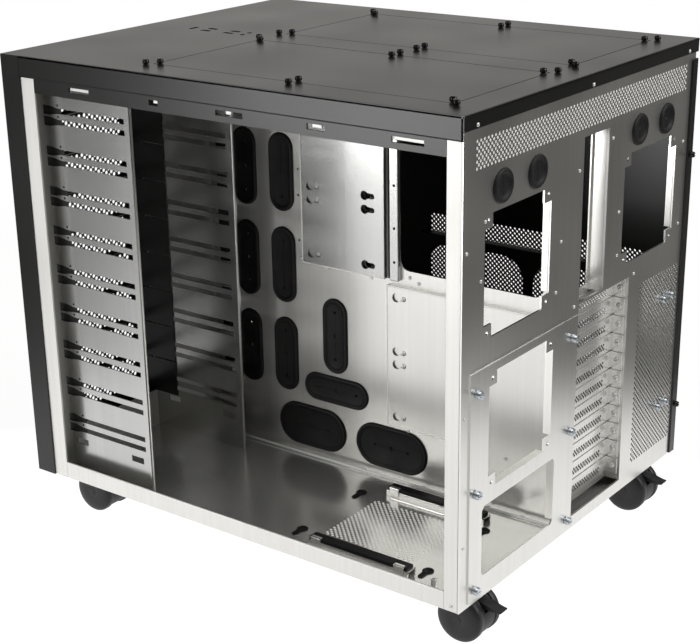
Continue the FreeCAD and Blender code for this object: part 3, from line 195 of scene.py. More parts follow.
def brushed(name, base, along, low, high, **values):
    """Brushed sheet: streaks along one axis in colour and relief, handling marks in roughness."""
    material, tree, shader = new_surface(name, **values)
    # Real brush lines are about 0.1 mm apart; drawn as bands some 5 mm wide so that they show
    line, run = 5 * MM, 300 * MM
    # Handling marks, palm sized
    palm = 90 * MM
    scale = [1 / run if axis == along else 1 / line for axis in "xyz"]
    place = add_node(tree, "ShaderNodeTexCoord").outputs["Object"]
    stretch = add_node(tree, "ShaderNodeMapping", {"Vector": place, "Scale": scale})
    streaks = add_node(tree, "ShaderNodeTexNoise", {
        "Vector": stretch.outputs[0], "Scale": 1.0, "Detail": 1.0})
    marks = add_node(tree, "ShaderNodeTexNoise", {"Vector": place, "Scale": 1 / palm, "Detail": 0.0})
    rough = add_node(tree, "ShaderNodeMapRange", {
        "Value": marks.outputs["Fac"], "From Min": 0.2, "From Max": 0.8, "To Min": low, "To Max": high})
    dress(tree, shader, base, streaks.outputs["Fac"], 0.94, (0.25, 0.75), rough.outputs[0], 0.02, 0.01 * MM)
    return material


def aluminium_sheet(along, metal):
    """Aluminium sheet, brushed and clear anodised: a satin mirror, made milky by the oxide on it."""
    return brushed(f"aluminium sheet brushed along {along}", colours().silver, along, 0.21, 0.25,
                   Metallic=metal)


def bright_sheet():
    """Aluminium sheet, finely brushed and bright anodised: a clear mirror with little milk in it."""
    return brushed("bright aluminium sheet", colours().silver, "z", 0.28, 0.34, Metallic=0.97)


def floor_sheet():
    """Aluminium sheet, polished before it was brushed: it mirrors what stands on it, a little blurred."""
    return brushed("polished aluminium sheet", colours().silver, "y", 0.18, 0.23, Metallic=0.78)


def greyer_sheet():
    """Aluminium sheet in a darker grey than the brushed silver, with the same streaks: a darker grey mirror.
    """
    return brushed("greyer aluminium sheet", colours().greyer, "z", 0.2, 0.24, Metallic=0.97)


def satin_sheet():
    """Aluminium sheet, blasted and clear anodised: milky silver that scatters most of the light."""
    return brushed("satin aluminium sheet", colours().silver, "z", 0.42, 0.5, Metallic=0.55)


def edge_highlight():
    """Aluminium edge, sheared or folded: a painted highlight, near-white and mostly diffuse, so that it shows
    as a pale line from all sides.
    """
    return brushed("aluminium edge highlight", colours().edge, "z", 0.42, 0.5, Metallic=0.15)


def black_sheet(along):
    """Aluminium sheet, brushed and dyed black: dark face on, grey sheen at a low angle from the oxide."""
    return brushed(f"black anodised sheet brushed along {along}", colours().black, along, 0.28, 0.32,
                   IOR=1.46, Metallic=0.0)


def grained(name, base, grain, low, high, depth, **values):
    """Moulded or plated surface: a fine even grain in colour and relief, wear in roughness."""
    material, tree, shader = new_surface(name, **values)
    # Worn patches, thumb sized
    thumb = 25 * MM
    place = add_node(tree, "ShaderNodeTexCoord").outputs["Object"]
    specks = add_node(tree, "ShaderNodeTexNoise", {"Vector": place, "Scale": 1 / grain, "Detail": 3.0})
    wear = add_node(tree, "ShaderNodeTexNoise", {"Vector": place, "Scale": 1 / thumb})
    rough = add_node(tree, "ShaderNodeMapRange", {
        "Value": wear.outputs["Fac"], "From Min": 0.3, "From Max": 0.7, "To Min": low, "To Max": high})
    dress(tree, shader, base, specks.outputs["Fac"], 0.8, (0.3, 0.7), rough.outputs[0], 0.3, depth)
    return material


def zinc_plate():
    """Steel, turned and zinc plated: a bluish bright metal with a faint spangle."""
    return grained("zinc plated steel", colours().zinc, 1.2 * MM, 0.3, 0.42, 0.02 * MM, Metallic=1.0)


def moulded_rubber():
    """Rubber, moulded: dull black with a soft broad sheen."""
    # Mould texture is about 0.05 mm; drawn at 0.6 mm so that it shows
    return grained("moulded black rubber", colours().rubber, 0.6 * MM, 0.55, 0.68, 0.06 * MM, IOR=1.35)


def moulded_nylon():
    """Nylon, injection moulded with a spark-eroded grain: dark grey with a low sheen."""
    return grained("moulded black nylon", colours().moulding, 0.8 * MM, 0.45, 0.56, 0.05 * MM, IOR=1.38)


def wheel_nylon():
    """Nylon wheel, moulded smooth and scuffed by the floor: dark grey, wider sheen."""
    return grained("moulded wheel nylon", colours().tread, 1.0 * MM, 0.4, 0.52, 0.04 * MM, IOR=1.38)


def filter_fleece():
    """Polyester fleece, needled: soft white that scatters the light."""
    return grained("needled filter fleece", colours().fleece, 0.8 * MM, 0.9, 1.0, 0.2 * MM, IOR=1.3)


FINISHES = {
    "aluminium y": lambda: aluminium_sheet("y", 0.75),
    "aluminium z": lambda: aluminium_sheet("z", 0.72),
    "aluminium bright": bright_sheet,
    "aluminium floor": floor_sheet,
    "aluminium greyer": greyer_sheet,
    "satin": satin_sheet,
    "edge": edge_highlight,
    "black x": lambda: black_sheet("x"),
    "black y": lambda: black_sheet("y"),
    "black z": lambda: black_sheet("z"),
    "zinc": zinc_plate,
    "rubber": moulded_rubber,
    "fleece": filter_fleece,
    "nylon": moulded_nylon,
    "wheel": wheel_nylon,
}
# Materials of the finishes made so far, by finish name
made_finishes = {}


def finish(name):
    """Material of a finish, made once."""
    if name not in made_finishes:
        made_finishes[name] = FINISHES[name]()
    return made_finishes[name]


def piece(name, bm, finish_name, body=BODY, replaced=(), smooth=0.0):
    """Object from a mesh under construction, riding on a body and standing for construction nodes."""
    mesh = bpy.data.meshes.new(name)
    bm.to_mesh(mesh)
    bm.free()
    if smooth:
        mesh.shade_smooth()
        mesh.set_sharp_from_angle(angle=math.radians(smooth))
    mesh.materials.append(finish(finish_name))
    made = bpy.data.objects.new(name, mesh)
    bpy.context.collection.objects.link(made)
    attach(made, body)
    if replaced:
        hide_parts(*replaced)
    return made


def rectangle(u0, v0, u1, v1):
    """Corners of a rectangle."""
    return [(u0, v0), (u1, v0), (u1, v1), (u0, v1)]


def centred(u, v, wide, tall):
    """Rectangle about its middle."""
    return rectangle(u - wide / 2, v - tall / 2, u + wide / 2, v + tall / 2)


def arc(u, v, radius, start, end, steps):
    """Points on a circle between two angles in degrees."""
    turns = [math.radians(start + (end - start) * step / steps) for step in range(steps + 1)]
    return [(u + radius * math.cos(turn), v + radius * math.sin(turn)) for turn in turns]


def circle(u, v, radius, steps=24):
    """Points round a circle."""
    return arc(u, v, radius, 0, 360, steps)[:-1]


def stadium(u, v, long_u, long_v, steps=16):
    """Slot outline with round ends along its longer side."""
    radius = min(long_u, long_v) / 2
    reach_u, reach_v = long_u / 2 - radius, long_v / 2 - radius
    turn = 0 if reach_u >= reach_v else 90
    return (arc(u + reach_u, v + reach_v, radius, turn - 90, turn + 90, steps)
            + arc(u - reach_u, v - reach_v, radius, turn + 90, turn + 270, steps))


def rounded(u0, v0, u1, v1, radius):
    """Rectangle with round corners."""
    corners = ((u1, v0, -1, 1, -90), (u1, v1, -1, -1, 0), (u0, v1, 1, -1, 90), (u0, v0, 1, 1, 180))
    return [point for u, v, du, dv, turn in corners
            for point in arc(u + du * radius, v + dv * radius, radius, turn, turn + 90, 8)]


def keyhole(u, v):
    """Round hole with a narrower tail towards the rear."""
    lean = math.degrees(math.asin(KEY_SLOT / KEY_HOLE))
    return (arc(u, v, KEY_HOLE / 2, lean, 360 - lean, 20)
            + arc(u + KEY_TAIL - KEY_SLOT / 2, v, KEY_SLOT / 2, -90, 90, 8))


def notched(u, v, size, tab):
    """Square opening with a tab left in each corner."""
    half, inner = size / 2, size / 2 - tab
    points = []
    for index, (su, sv) in enumerate([(-1, -1), (1, -1), (1, 1), (-1, 1)]):
        turn = [(su * half, sv * inner), (su * inner, sv * inner), (su * inner, sv * half)]
        points += turn if index % 2 == 0 else turn[::-1]
    return [(u + du, v + dv) for du, dv in points]


def on_rear(y):
    """Places in an upright sheet across the case."""
    return lambda u, v: Vector((u, y, v))


def on_side(x):
    """Places in an upright sheet along the case."""
    return lambda u, v: Vector((x, u, v))


def on_floor(z):
    """Places in a level sheet."""
    return lambda u, v: Vector((u, v, z))


def perforate(bm, spot, field, clear, hole, pitch):
    """Staggered round holes over a field, each in a diamond cell; returns the cells' outer points."""
    quarter, radius = pitch / 4, hole / 2
    u0, v0, u1, v1 = field
    middle_u, middle_v = (u0 + u1) / 2, (v0 + v1) / 2
    columns = int(((u1 - u0) / 2 / quarter - 2) / 2)
    rows = int(((v1 - v0) / 2 / quarter - 2) / 2)
    points = {}
    for column in range(-columns, columns + 1):
        for row in range(-rows, rows + 1):
            u, v = middle_u + 2 * column * quarter, middle_v + 2 * row * quarter
            if (column + row) % 2 or any(math.dist((u, v), (cu, cv)) < reach for cu, cv, reach in clear):
                continue
            outer = []
            for du, dv in CELL:
                key = (2 * column + du, 2 * row + dv)
                if key not in points:
                    points[key] = bm.verts.new(spot(middle_u + key[0] * quarter, middle_v + key[1] * quarter))
                outer.append(points[key])
            inner = [bm.verts.new(spot(a, b)) for a, b in circle(u, v, radius, len(CELL))]
            for index in range(len(CELL)):
                after = (index + 1) % len(CELL)
                bm.faces.new((outer[index], outer[after], inner[after], inner[index]))
    return set(points.values())


def sheet(bm, spot, outlines, fields=(), clear=(), thickness=Vector(), holes=None):
    """Flat sheet inside its first outline, open at the others, perforated over its fields."""
    cells = set()
    for field in fields:
        cells |= perforate(bm, spot, field, clear, *(holes or (sizes().hole, sizes().hole_pitch)))
    edges = [e for e in bm.edges if len(e.link_faces) == 1 and set(e.verts) <= cells]
    for outline in outlines:
        corners = [bm.verts.new(spot(u, v)) for u, v in outline]
        edges += [bm.edges.new(pair) for pair in zip(corners, corners[1:] + corners[:1])]
    before = len(bm.faces)
    bmesh.ops.triangle_fill(bm, use_beauty=True, use_dissolve=False, edges=edges)
    if len(bm.faces) == before:
        raise RuntimeError("a sheet's outline can't be filled")
    bmesh.ops.recalc_face_normals(bm, faces=bm.faces)
    grown = bmesh.ops.extrude_face_region(bm, geom=bm.faces[:], use_keep_orig=True)
    moved = [item for item in grown["geom"] if isinstance(item, bmesh.types.BMVert)]
    bmesh.ops.translate(bm, vec=thickness, verts=moved)
    bmesh.ops.recalc_face_normals(bm, faces=bm.faces)


def merge(bm, other):
    """Add one mesh under construction to another."""
    mesh = bpy.data.meshes.new("part")
    other.to_mesh(mesh)
    other.free()
    bm.from_mesh(mesh)
    bpy.data.meshes.remove(mesh)


def bar(bm, low, high, rounding=None):
    """Folded edge or block between two corners, its edges rounded."""
    rounding = sizes().edge if rounding is None else rounding
    low, high = Vector(low), Vector(high)
    verts = bmesh.ops.create_cube(bm, size=1.0)["verts"]
    bmesh.ops.scale(bm, vec=high - low, verts=verts)
    bmesh.ops.translate(bm, vec=(low + high) / 2, verts=verts)
    edges = {edge for vert in verts for edge in vert.link_edges}
    offset = min(rounding, 0.45 * min(high - low))
    bmesh.ops.bevel(bm, geom=list(edges), offset=offset, segments=2, profile=0.5, affect="EDGES")


def loops(bm, rings, closed=True):
    """Quads between successive rings of points, with the ends filled if closed."""
    made = [[bm.verts.new(point) for point in ring] for ring in rings]
    count = len(made[0])
    for lower, upper in zip(made, made[1:]):
        for index in range(count):
            after = (index + 1) % count
            bm.faces.new((lower[index], lower[after], upper[after], upper[index]))
    if closed:
        bm.faces.new(made[0][::-1])
        bm.faces.new(made[-1])
    return made


def turned(bm, place, profile, steps, ridge=0.0, ridged=()):
    """Turn a profile of (radius, height) points; rings named in ridged alternate for a knurl."""
    rings = []
    for number, (radius, height) in enumerate(profile):
        ring = []
        for step in range(steps):
            turn = 2 * math.pi * step / steps
            reach = radius - (ridge if number in ridged and step % 2 else 0.0)
            ring.append(place @ Vector((reach * math.cos(turn), reach * math.sin(turn), height)))
        rings.append(ring)
    return loops(bm, rings)


def prism(bm, place, outline, low, high, rounding=0.0):
    """Outline drawn out between two heights, its rim edges rounded."""
    rings = [[place @ Vector((u, v, height)) for u, v in outline] for height in (low, high)]
    made = loops(bm, rings)
    if rounding:
        rims = {e for ring in made for v in ring for e in v.link_edges if e.other_vert(v) in ring}
        bmesh.ops.bevel(bm, geom=list(rims), offset=rounding, segments=2, profile=0.5, affect="EDGES")


def thumbscrew(bm, place, head):
    """Thumbscrew on its seat: washer face, knurled grip, chamfers and a slot across the head."""
    radius, height, slot = head / 2, 0.72 * head, sizes().screw_slot
    cap = 0.9 * MM
    profile = [(0.72 * radius, 0.0), (0.72 * radius, 0.6 * MM), (0.94 * radius, 0.9 * MM), (radius, 1.4 * MM),
               (radius, height - 1.9 * MM), (0.9 * radius, height - 1.2 * MM), (0.86 * radius, height - cap)]
    turned(bm, place, profile, 2 * sizes().knurl, 0.07 * radius, (3, 4))
    lean = math.degrees(math.asin(slot / 2 / (0.86 * radius)))
    for start in (lean, 180 + lean):
        half = arc(0, 0, 0.86 * radius, start, start + 180 - 2 * lean, 14)
        prism(bm, place, half, height - cap, height, 0.15 * MM)


def rivet(bm, place, head=None):
    """Low domed head of a small screw or rivet, with a driver recess."""
    radius = (head or sizes().rivet) / 2
    profile = [(radius, 0.0), (radius, 0.15 * radius), (0.85 * radius, 0.4 * radius),
               (0.55 * radius, 0.55 * radius), (0.4 * radius, 0.55 * radius), (0.25 * radius, 0.25 * radius)]
    turned(bm, place, profile, 16)


def upright(x, y, z):
    """Place of a screw driven down."""
    return Matrix.Translation((x, y, z))


def rearward(x, y, z):
    """Place of a screw driven in from behind."""
    return Matrix.Translation((x, y, z)) @ Matrix.Rotation(math.radians(-90), 4, "X")


def sideward(x, y, z):
    """Place of a screw driven towards -X."""
    return Matrix.Translation((x, y, z)) @ Matrix.Rotation(math.radians(90), 4, "Y")


# Rear panel layout, across and up; fields and windows run from corner to corner
FAN_X, FAN_Z = 131.5 * MM, TOP - 152 * MM
FAN_PITCH, FAN_HOLE = 105 * MM, 4.4 * MM
HOSE_PITCH, HOSE_Z, HOSE_HOLE = 60 * MM, TOP - 73 * MM, 30 * MM
STRIP = (-208 * MM, TOP - 53 * MM, 208 * MM, TOP - 22 * MM)
FIELD = (-214.5 * MM, BASE + 20 * MM, -117.5 * MM, BASE + 234 * MM)
PORT_WINDOW = (-37.45 * MM, BASE + 248 * MM, 13 * MM, BASE + 412.75 * MM)
SLOT_WINDOW = (-94.5 * MM, BASE + 13.2 * MM, 13 * MM, BASE + 245 * MM)
PLATE_WINDOW = (32.5 * MM, BASE + 21 * MM, 194.5 * MM, BASE + 230 * MM)
# Side flange, fold beside a fan opening, and bare sheet round a screw in the perforated field
POST, FAN_LIP, SCREW_CLEAR = 17 * MM, 7 * MM, 6 * MM
FIELD_SCREWS = [(x * MM, BASE + z * MM) for x in (-195.1, -175.7) for z in (72, 198)]
PLATE_SCREWS = [(x * MM, BASE + z * MM) for x in (25.5, 201.5) for z in (15, 115, 215)]
SIDE_SCREWS = [(-221.5 * MM, BASE + z * MM) for z in (60, 349)]


def fan_outlines(x, z):
    """Fan opening with corner tabs and its screw holes."""
    half = FAN_PITCH / 2
    holes = [circle(x + i * half, z + j * half, FAN_HOLE / 2, 12) for i in (-1, 1) for j in (-1, 1)]
    return [notched(x, z, sizes().fan_opening, sizes().fan_tab)] + holes


def hose_places():
    """Middles of the round rear grommets."""
    return [(side * FAN_X + step * HOSE_PITCH / 2, HOSE_Z) for side in (1, -1) for step in (1, -1)]


class CASE_OT_rear_panel(bpy.types.Operator):
    """Folded rear sheet with fine perforation, fan openings, windows and posts"""
    bl_idname = "pc_case.rear_panel"
    bl_label = "Rear panel"

    def execute(self, context):
        bm = bmesh.new()
        outlines = [rectangle(-SKIN, BASE, SKIN, ROOF)]
        outlines += fan_outlines(FAN_X, FAN_Z) + fan_outlines(-FAN_X, FAN_Z)
        outlines += [circle(x, z, HOSE_HOLE / 2) for x, z in hose_places()]
        outlines += [rectangle(*window) for window in (PORT_WINDOW, SLOT_WINDOW, PLATE_WINDOW)]
        clear = [(x, z, SCREW_CLEAR) for x, z in FIELD_SCREWS]
        sheet(bm, on_rear(REAR), outlines, (STRIP, FIELD), clear, Vector((0, -WALL, 0)))
        posts = bmesh.new()
        for side in (1, -1):
            post = sorted((side * SKIN, side * (SKIN - WALL)))
            bar(posts, (post[0], REAR - POST, BASE), (post[1], REAR - WALL / 2, ROOF))
        piece("rear_posts", posts, "satin")
        reach = sizes().fan_opening / 2 - sizes().fan_tab
        for x in (FAN_X, -FAN_X):
            edge = x - sizes().fan_opening / 2
            bar(bm, (edge - THIN, REAR - WALL - FAN_LIP, FAN_Z - reach),
                (edge, REAR - WALL / 2, FAN_Z + reach))
        piece("rear_panel_sheet", bm, "aluminium bright", replaced=["rear_panel"])
        return {"FINISHED"}


# Floor vent, and where the side lips start behind the front frame
FLOOR_VENT = (75.5 * MM, REAR - 205 * MM, 172.5 * MM, REAR - 86 * MM)
LIP_START = PAN_LOW.y + 17 * MM


class CASE_OT_base_pan(bpy.types.Operator):
    """Folded floor with upturned lips and the fine floor vent"""
    bl_idname = "pc_case.base_pan"
    bl_label = "Base pan"

    def execute(self, context):
        bm = bmesh.new()
        edge = PAN_HIGH.x - sizes().edge
        outlines = [rectangle(-edge, PAN_LOW.y, edge, PAN_HIGH.y)]
        outlines += [circle(x, y, FOOT_HOLE / 2) for x, y in FEET]
        sheet(bm, on_floor(PAN_LOW.z), outlines, (FLOOR_VENT,), thickness=Vector((0, 0, WALL)))
        lips = bmesh.new()
        for side in (1, -1):
            lip = sorted((side * PAN_HIGH.x, side * (PAN_HIGH.x - WALL)))
            bar(lips, (lip[0], LIP_START, PAN_LOW.z), (lip[1], REAR - POST, PAN_HIGH.z))
        piece("base_lips", lips, "satin")
        piece("base_pan_sheet", bm, "aluminium floor", replaced=["base_pan"])
        return {"FINISHED"}


# Perforated field of the far side panel, along and up
SIDE_FIELD = (REAR - 338 * MM, BASE + 70 * MM, REAR - 44 * MM, BASE + 234 * MM)


class CASE_OT_side_panel(bpy.types.Operator):
    """Far side panel with its fine perforated field and rear fold"""
    bl_idname = "pc_case.side_panel"
    bl_label = "Side panel"

    def execute(self, context):
        bm = bmesh.new()
        outline = rectangle(SIDE_LOW.y, SIDE_LOW.z, SIDE_HIGH.y, SIDE_HIGH.z)
        sheet(bm, on_side(SIDE_LOW.x), [outline], (SIDE_FIELD,), thickness=Vector((WALL, 0, 0)))
        bar(bm, (SIDE_LOW.x, REAR, SIDE_LOW.z), SIDE_HIGH)
        piece("side_panel_sheet", bm, "black y", replaced=["side_panel"])
        return {"FINISHED"}


# Slot covers: gauge, and the perforated band from a cover's ends and from its lower edge
SLOT_GAUGE = 0.9 * MM
BAND_START, BAND_END, BAND_LOW, BAND_HIGH = 14 * MM, 12 * MM, 1.5 * MM, 13.7 * MM


class CASE_OT_slot_covers(bpy.types.Operator):
    """Slot covers, each with a perforated band and a tab bent out over the screw shelf"""
    bl_idname = "pc_case.slot_covers"
    bl_label = "Slot covers"

    def execute(self, context):
        holes = (sizes().slot_hole, sizes().slot_hole_pitch)
        for slot in range(1, SLOTS + 1):
            name = f"slot_cover_{slot:02d}"
            low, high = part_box(name)
            band = (low.x + BAND_START, low.z + BAND_LOW, high.x - BAND_END, low.z + BAND_HIGH)
            bm = bmesh.new()
            sheet(bm, on_rear(low.y), [rectangle(low.x, low.z, high.x, high.z)], (band,),
                  thickness=Vector((0, SLOT_GAUGE, 0)), holes=holes)
            bar(bm, low, (low.x + SLOT_GAUGE, high.y, high.z))
            piece(f"{name}_sheet", bm, "aluminium z", replaced=[name])
        return {"FINISHED"}


# Bay covers: gauge, half of the seam between two, plain border of the mesh and depth of the folds
BAY_GAUGE, BAY_SEAM, BAY_BORDER, BAY_FOLD = MM, 0.4 * MM, 1.4 * MM, 5 * MM
# Pins in the slots of the near bay wall
PIN_X, PIN_Y, PIN_HEAD = 209 * MM, -232 * MM, 2.4 * MM
PIN_ROWS = (116 * MM, 127.8 * MM)
# Rounded rear edge of a bay wall, from its face and from its rear end
WALL_EDGE_X, WALL_EDGE_Y, WALL_EDGE_ROUND = (-1.8 * MM, 0.4 * MM), (-1.4 * MM, 0.8 * MM), 0.9 * MM


class CASE_OT_bay_covers(bpy.types.Operator):
    """Perforated drive bay covers with their folded edges, and the bay walls' pins and rear edges"""
    bl_idname = "pc_case.bay_covers"
    bl_label = "Bay covers"

    def execute(self, context):
        for side in ("right", "left"):
            low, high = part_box(f"bay_covers_{side}")
            bm = bmesh.new()
            for bay in range(BAYS):
                merge(bm, self.cover(low, high, low.z + bay * BAY_PITCH))
            piece(f"bay_covers_{side}_mesh", bm, "black x", replaced=[f"bay_covers_{side}"])
        pins = bmesh.new()
        for bay in range(BAYS):
            for row in PIN_ROWS:
                rivet(pins, sideward(PIN_X, PIN_Y, row + bay * BAY_PITCH), PIN_HEAD)
        piece("bay_pins", pins, "nylon", smooth=40)
        folds = bmesh.new()
        outer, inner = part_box("bay_wall_right_outer"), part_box("bay_wall_right_inner")
        back = outer[1].y
        for face in (outer[0].x + THIN, inner[1].x):
            bar(folds, (face + WALL_EDGE_X[0], back + WALL_EDGE_Y[0], BASE + WALL),
                (face + WALL_EDGE_X[1], back + WALL_EDGE_Y[1], ROOF - WALL), WALL_EDGE_ROUND)
        piece("bay_wall_folds", folds, "aluminium bright", smooth=40)
        return {"FINISHED"}

    def cover(self, low, high, z0):
        """One perforated cover above a height, folded inwards on all four sides."""
        z1 = z0 + BAY_PITCH - 2 * BAY_SEAM
        bm = bmesh.new()
        field = (low.x + BAY_BORDER, z0 + BAY_BORDER, high.x - BAY_BORDER, z1 - BAY_BORDER)
        sheet(bm, on_rear(low.y), [rectangle(low.x, z0, high.x, z1)], (field,),
              thickness=Vector((0, BAY_GAUGE, 0)), holes=(sizes().bay_hole, sizes().bay_hole_pitch))
        for z in (z0, z1 - THIN):
            bar(bm, (low.x, low.y, z), (high.x, low.y + BAY_FOLD, z + THIN))
        for x in (low.x, high.x - BAY_GAUGE):
            bar(bm, (x, low.y, z0), (x + BAY_GAUGE, high.y, z1))
        return bm


# Seams of the top panels, and the screws beside them
SEAM_INNER, SEAM_OUTER = 22 * MM, 187 * MM
SEAM_BACK, SEAM_AHEAD = REAR - 34 * MM, REAR - 388 * MM
SCREW_STEP, SCREW_CORNER = 7.5 * MM, 5 * MM


def top_screw_places():
    """Thumbscrews on both sides of the seams of the top panels."""
    places = []
    for side in (1, -1):
        for inwards in (1, -1):
            for seam, way in ((SEAM_INNER, inwards), (SEAM_OUTER, -inwards)):
                places.append((side * (seam + way * SCREW_STEP), (SEAM_BACK + SEAM_AHEAD) / 2))
                for end, along in ((SEAM_BACK, -inwards), (SEAM_AHEAD, inwards)):
                    places.append((side * (seam + way * SCREW_CORNER), end + along * SCREW_CORNER))
    return places


# Slots and jack holes above the port block
PORT_STEP, PORT_LONG, PORT_WIDE, JACK = 6.3 * MM, 13 * MM, 5.5 * MM, 6 * MM
PORT_ROWS = (REAR - 446 * MM, REAR - 479 * MM)
CROSS_PORT, JACK_ROW = REAR - 502 * MM, REAR - 426 * MM
# Ledge round a window, rear skirt, dark rubber strip under the side skirts that paints the shadow line at
# their lower edge, panel's seam and rounding
LEDGE, REAR_SKIRT, SKIRT_SHADOW = 9 * MM, 14 * MM, 1.2 * MM
PANEL_SEAM, PANEL_ROUND = 0.9 * MM, 0.4 * MM


class CASE_OT_top(bpy.types.Operator):
    """Top cover with its skirts and ledges, and the two panels that lie in its windows"""
    bl_idname = "pc_case.top"
    bl_label = "Top cover"

    def execute(self, context):
        low, high = TOP_LOW, TOP_HIGH
        windows = [sorted((side * SEAM_INNER, side * SEAM_OUTER)) for side in (1, -1)]
        outlines = [rectangle(low.x, low.y, high.x, high.y)]
        outlines += [rectangle(a, SEAM_AHEAD, b, SEAM_BACK) for a, b in windows]
        for side in (1, -1):
            outlines += [centred(side * PORT_STEP, y, PORT_WIDE, PORT_LONG) for y in PORT_ROWS]
            outlines.append(circle(side * PORT_STEP, JACK_ROW, JACK / 2, 16))
        outlines.append(centred(0, CROSS_PORT, PORT_LONG, PORT_WIDE))
        bm = bmesh.new()
        sheet(bm, on_floor(TOP), outlines, thickness=Vector((0, 0, -WALL)))
        for x in (low.x, high.x - WALL):
            bar(bm, (x, low.y, low.z), (x + WALL, REAR - MM, TOP))
        bar(bm, (low.x, high.y - WALL, TOP - REAR_SKIRT), high)
        for a, b in windows:
            ring = bmesh.new()
            rims = [rectangle(a - grow, SEAM_AHEAD - grow, b + grow, SEAM_BACK + grow)
                    for grow in (LEDGE, -LEDGE)]
            sheet(ring, on_floor(TOP - WALL), rims, thickness=Vector((0, 0, -THIN)))
            merge(bm, ring)
        piece("top_cover_sheet", bm, "black y", replaced=["top_cover"])
        # Dark rubber strip under each side skirt: a painted shadow line along the skirt's lower edge
        shadow_strip = bmesh.new()
        for x in (SKIN, -SKIN - SKIRT_SHADOW):
            bar(shadow_strip, (x, low.y, low.z - MM), (x + SKIRT_SHADOW, REAR, low.z), 0.2 * MM)
        piece("skirt_shadow_strip", shadow_strip, "rubber")
        for label, (a, b) in zip(("right", "left"), windows):
            panel = bmesh.new()
            bar(panel, (a + PANEL_SEAM, SEAM_AHEAD + PANEL_SEAM, TOP - WALL),
                (b - PANEL_SEAM, SEAM_BACK - PANEL_SEAM, TOP), PANEL_ROUND)
            piece(f"top_panel_{label}_sheet", panel, "black y", replaced=[f"top_panel_{label}"])
        return {"FINISHED"}


# Lowest screw on the slot shelf
SLOT_SCREW = Vector((-93.6 * MM, REAR - 9.1 * MM, BASE + 29.2 * MM))


class CASE_OT_thumbscrews(bpy.types.Operator):
    """Knurled and slotted thumbscrews, and the low screws of the slot covers"""
    bl_idname = "pc_case.thumbscrews"
    bl_label = "Thumbscrews"

    def execute(self, context):
        black, zinc, slots = bmesh.new(), bmesh.new(), bmesh.new()
        for x, y in top_screw_places():
            thumbscrew(black, upright(x, y, TOP), sizes().black_screw)
        for x, z in SIDE_SCREWS:
            thumbscrew(black, rearward(x, REAR + WALL, z), sizes().black_screw)
        for x, z in PLATE_SCREWS:
            thumbscrew(zinc, rearward(x, REAR + THIN, z), sizes().zinc_screw)
        for x, z in FIELD_SCREWS:
            thumbscrew(zinc, rearward(x, REAR, z), sizes().zinc_screw)
        for slot in range(SLOTS):
            place = sideward(SLOT_SCREW.x, SLOT_SCREW.y, SLOT_SCREW.z + slot * SLOT_PITCH)
            rivet(slots, place, sizes().black_screw)
        for name, bm, look in (("black_thumbscrews", black, "black z"), ("zinc_thumbscrews", zinc, "zinc"),
                               ("slot_screws", slots, "satin")):
            piece(f"{name}_turned", bm, look, replaced=[name], smooth=35)
        return {"FINISHED"}


# Floor grommets: hole, middles, radius and height round the hole, and the tail of the keyhole
FOOT_HOLE = 9 * MM
FEET = [(124 * MM + i * 52 * MM, REAR - 146 * MM + j * 78.5 * MM) for i in (-1, 1) for j in (-1, 1)]
FOOT_RING = [(3 * MM, -WALL), (6 * MM, 0.0), (6 * MM, 0.9 * MM), (5.2 * MM, 1.5 * MM),
             (3.6 * MM, 1.3 * MM), (3 * MM, 0.6 * MM)]
TAIL_SHIFT, TAIL_LONG, TAIL_WIDE, TAIL_HIGH, TAIL_ROUND = 9 * MM, 14 * MM, 6 * MM, 1.1 * MM, 0.4 * MM
# Rear grommets: rim; cable holes of the tray's and the rear ones
HOSE_RIM, TRAY_BORE, HOSE_BORE = 32 * MM, 1.8 * MM, 1.2 * MM
# Tray grommets: middle, then rim size along and up
OVAL_LONG, OVAL_WIDE = 88 * MM, 33 * MM
LARGE_LONG, LARGE_WIDE = 95 * MM, 51 * MM
OVALS = [(REAR - column * MM, BASE + (118 + 106 * row) * MM, OVAL_WIDE, OVAL_LONG)
         for column in (418, 366) for row in range(3)]
OVALS += [(REAR - 296 * MM, BASE + 153 * MM, OVAL_WIDE, OVAL_LONG),
          (REAR - 296 * MM, BASE + 88 * MM, OVAL_LONG, OVAL_WIDE)]
OVALS += [(REAR - y * MM, BASE + 36 * MM, LARGE_LONG, LARGE_WIDE) for y in (331, 221)]


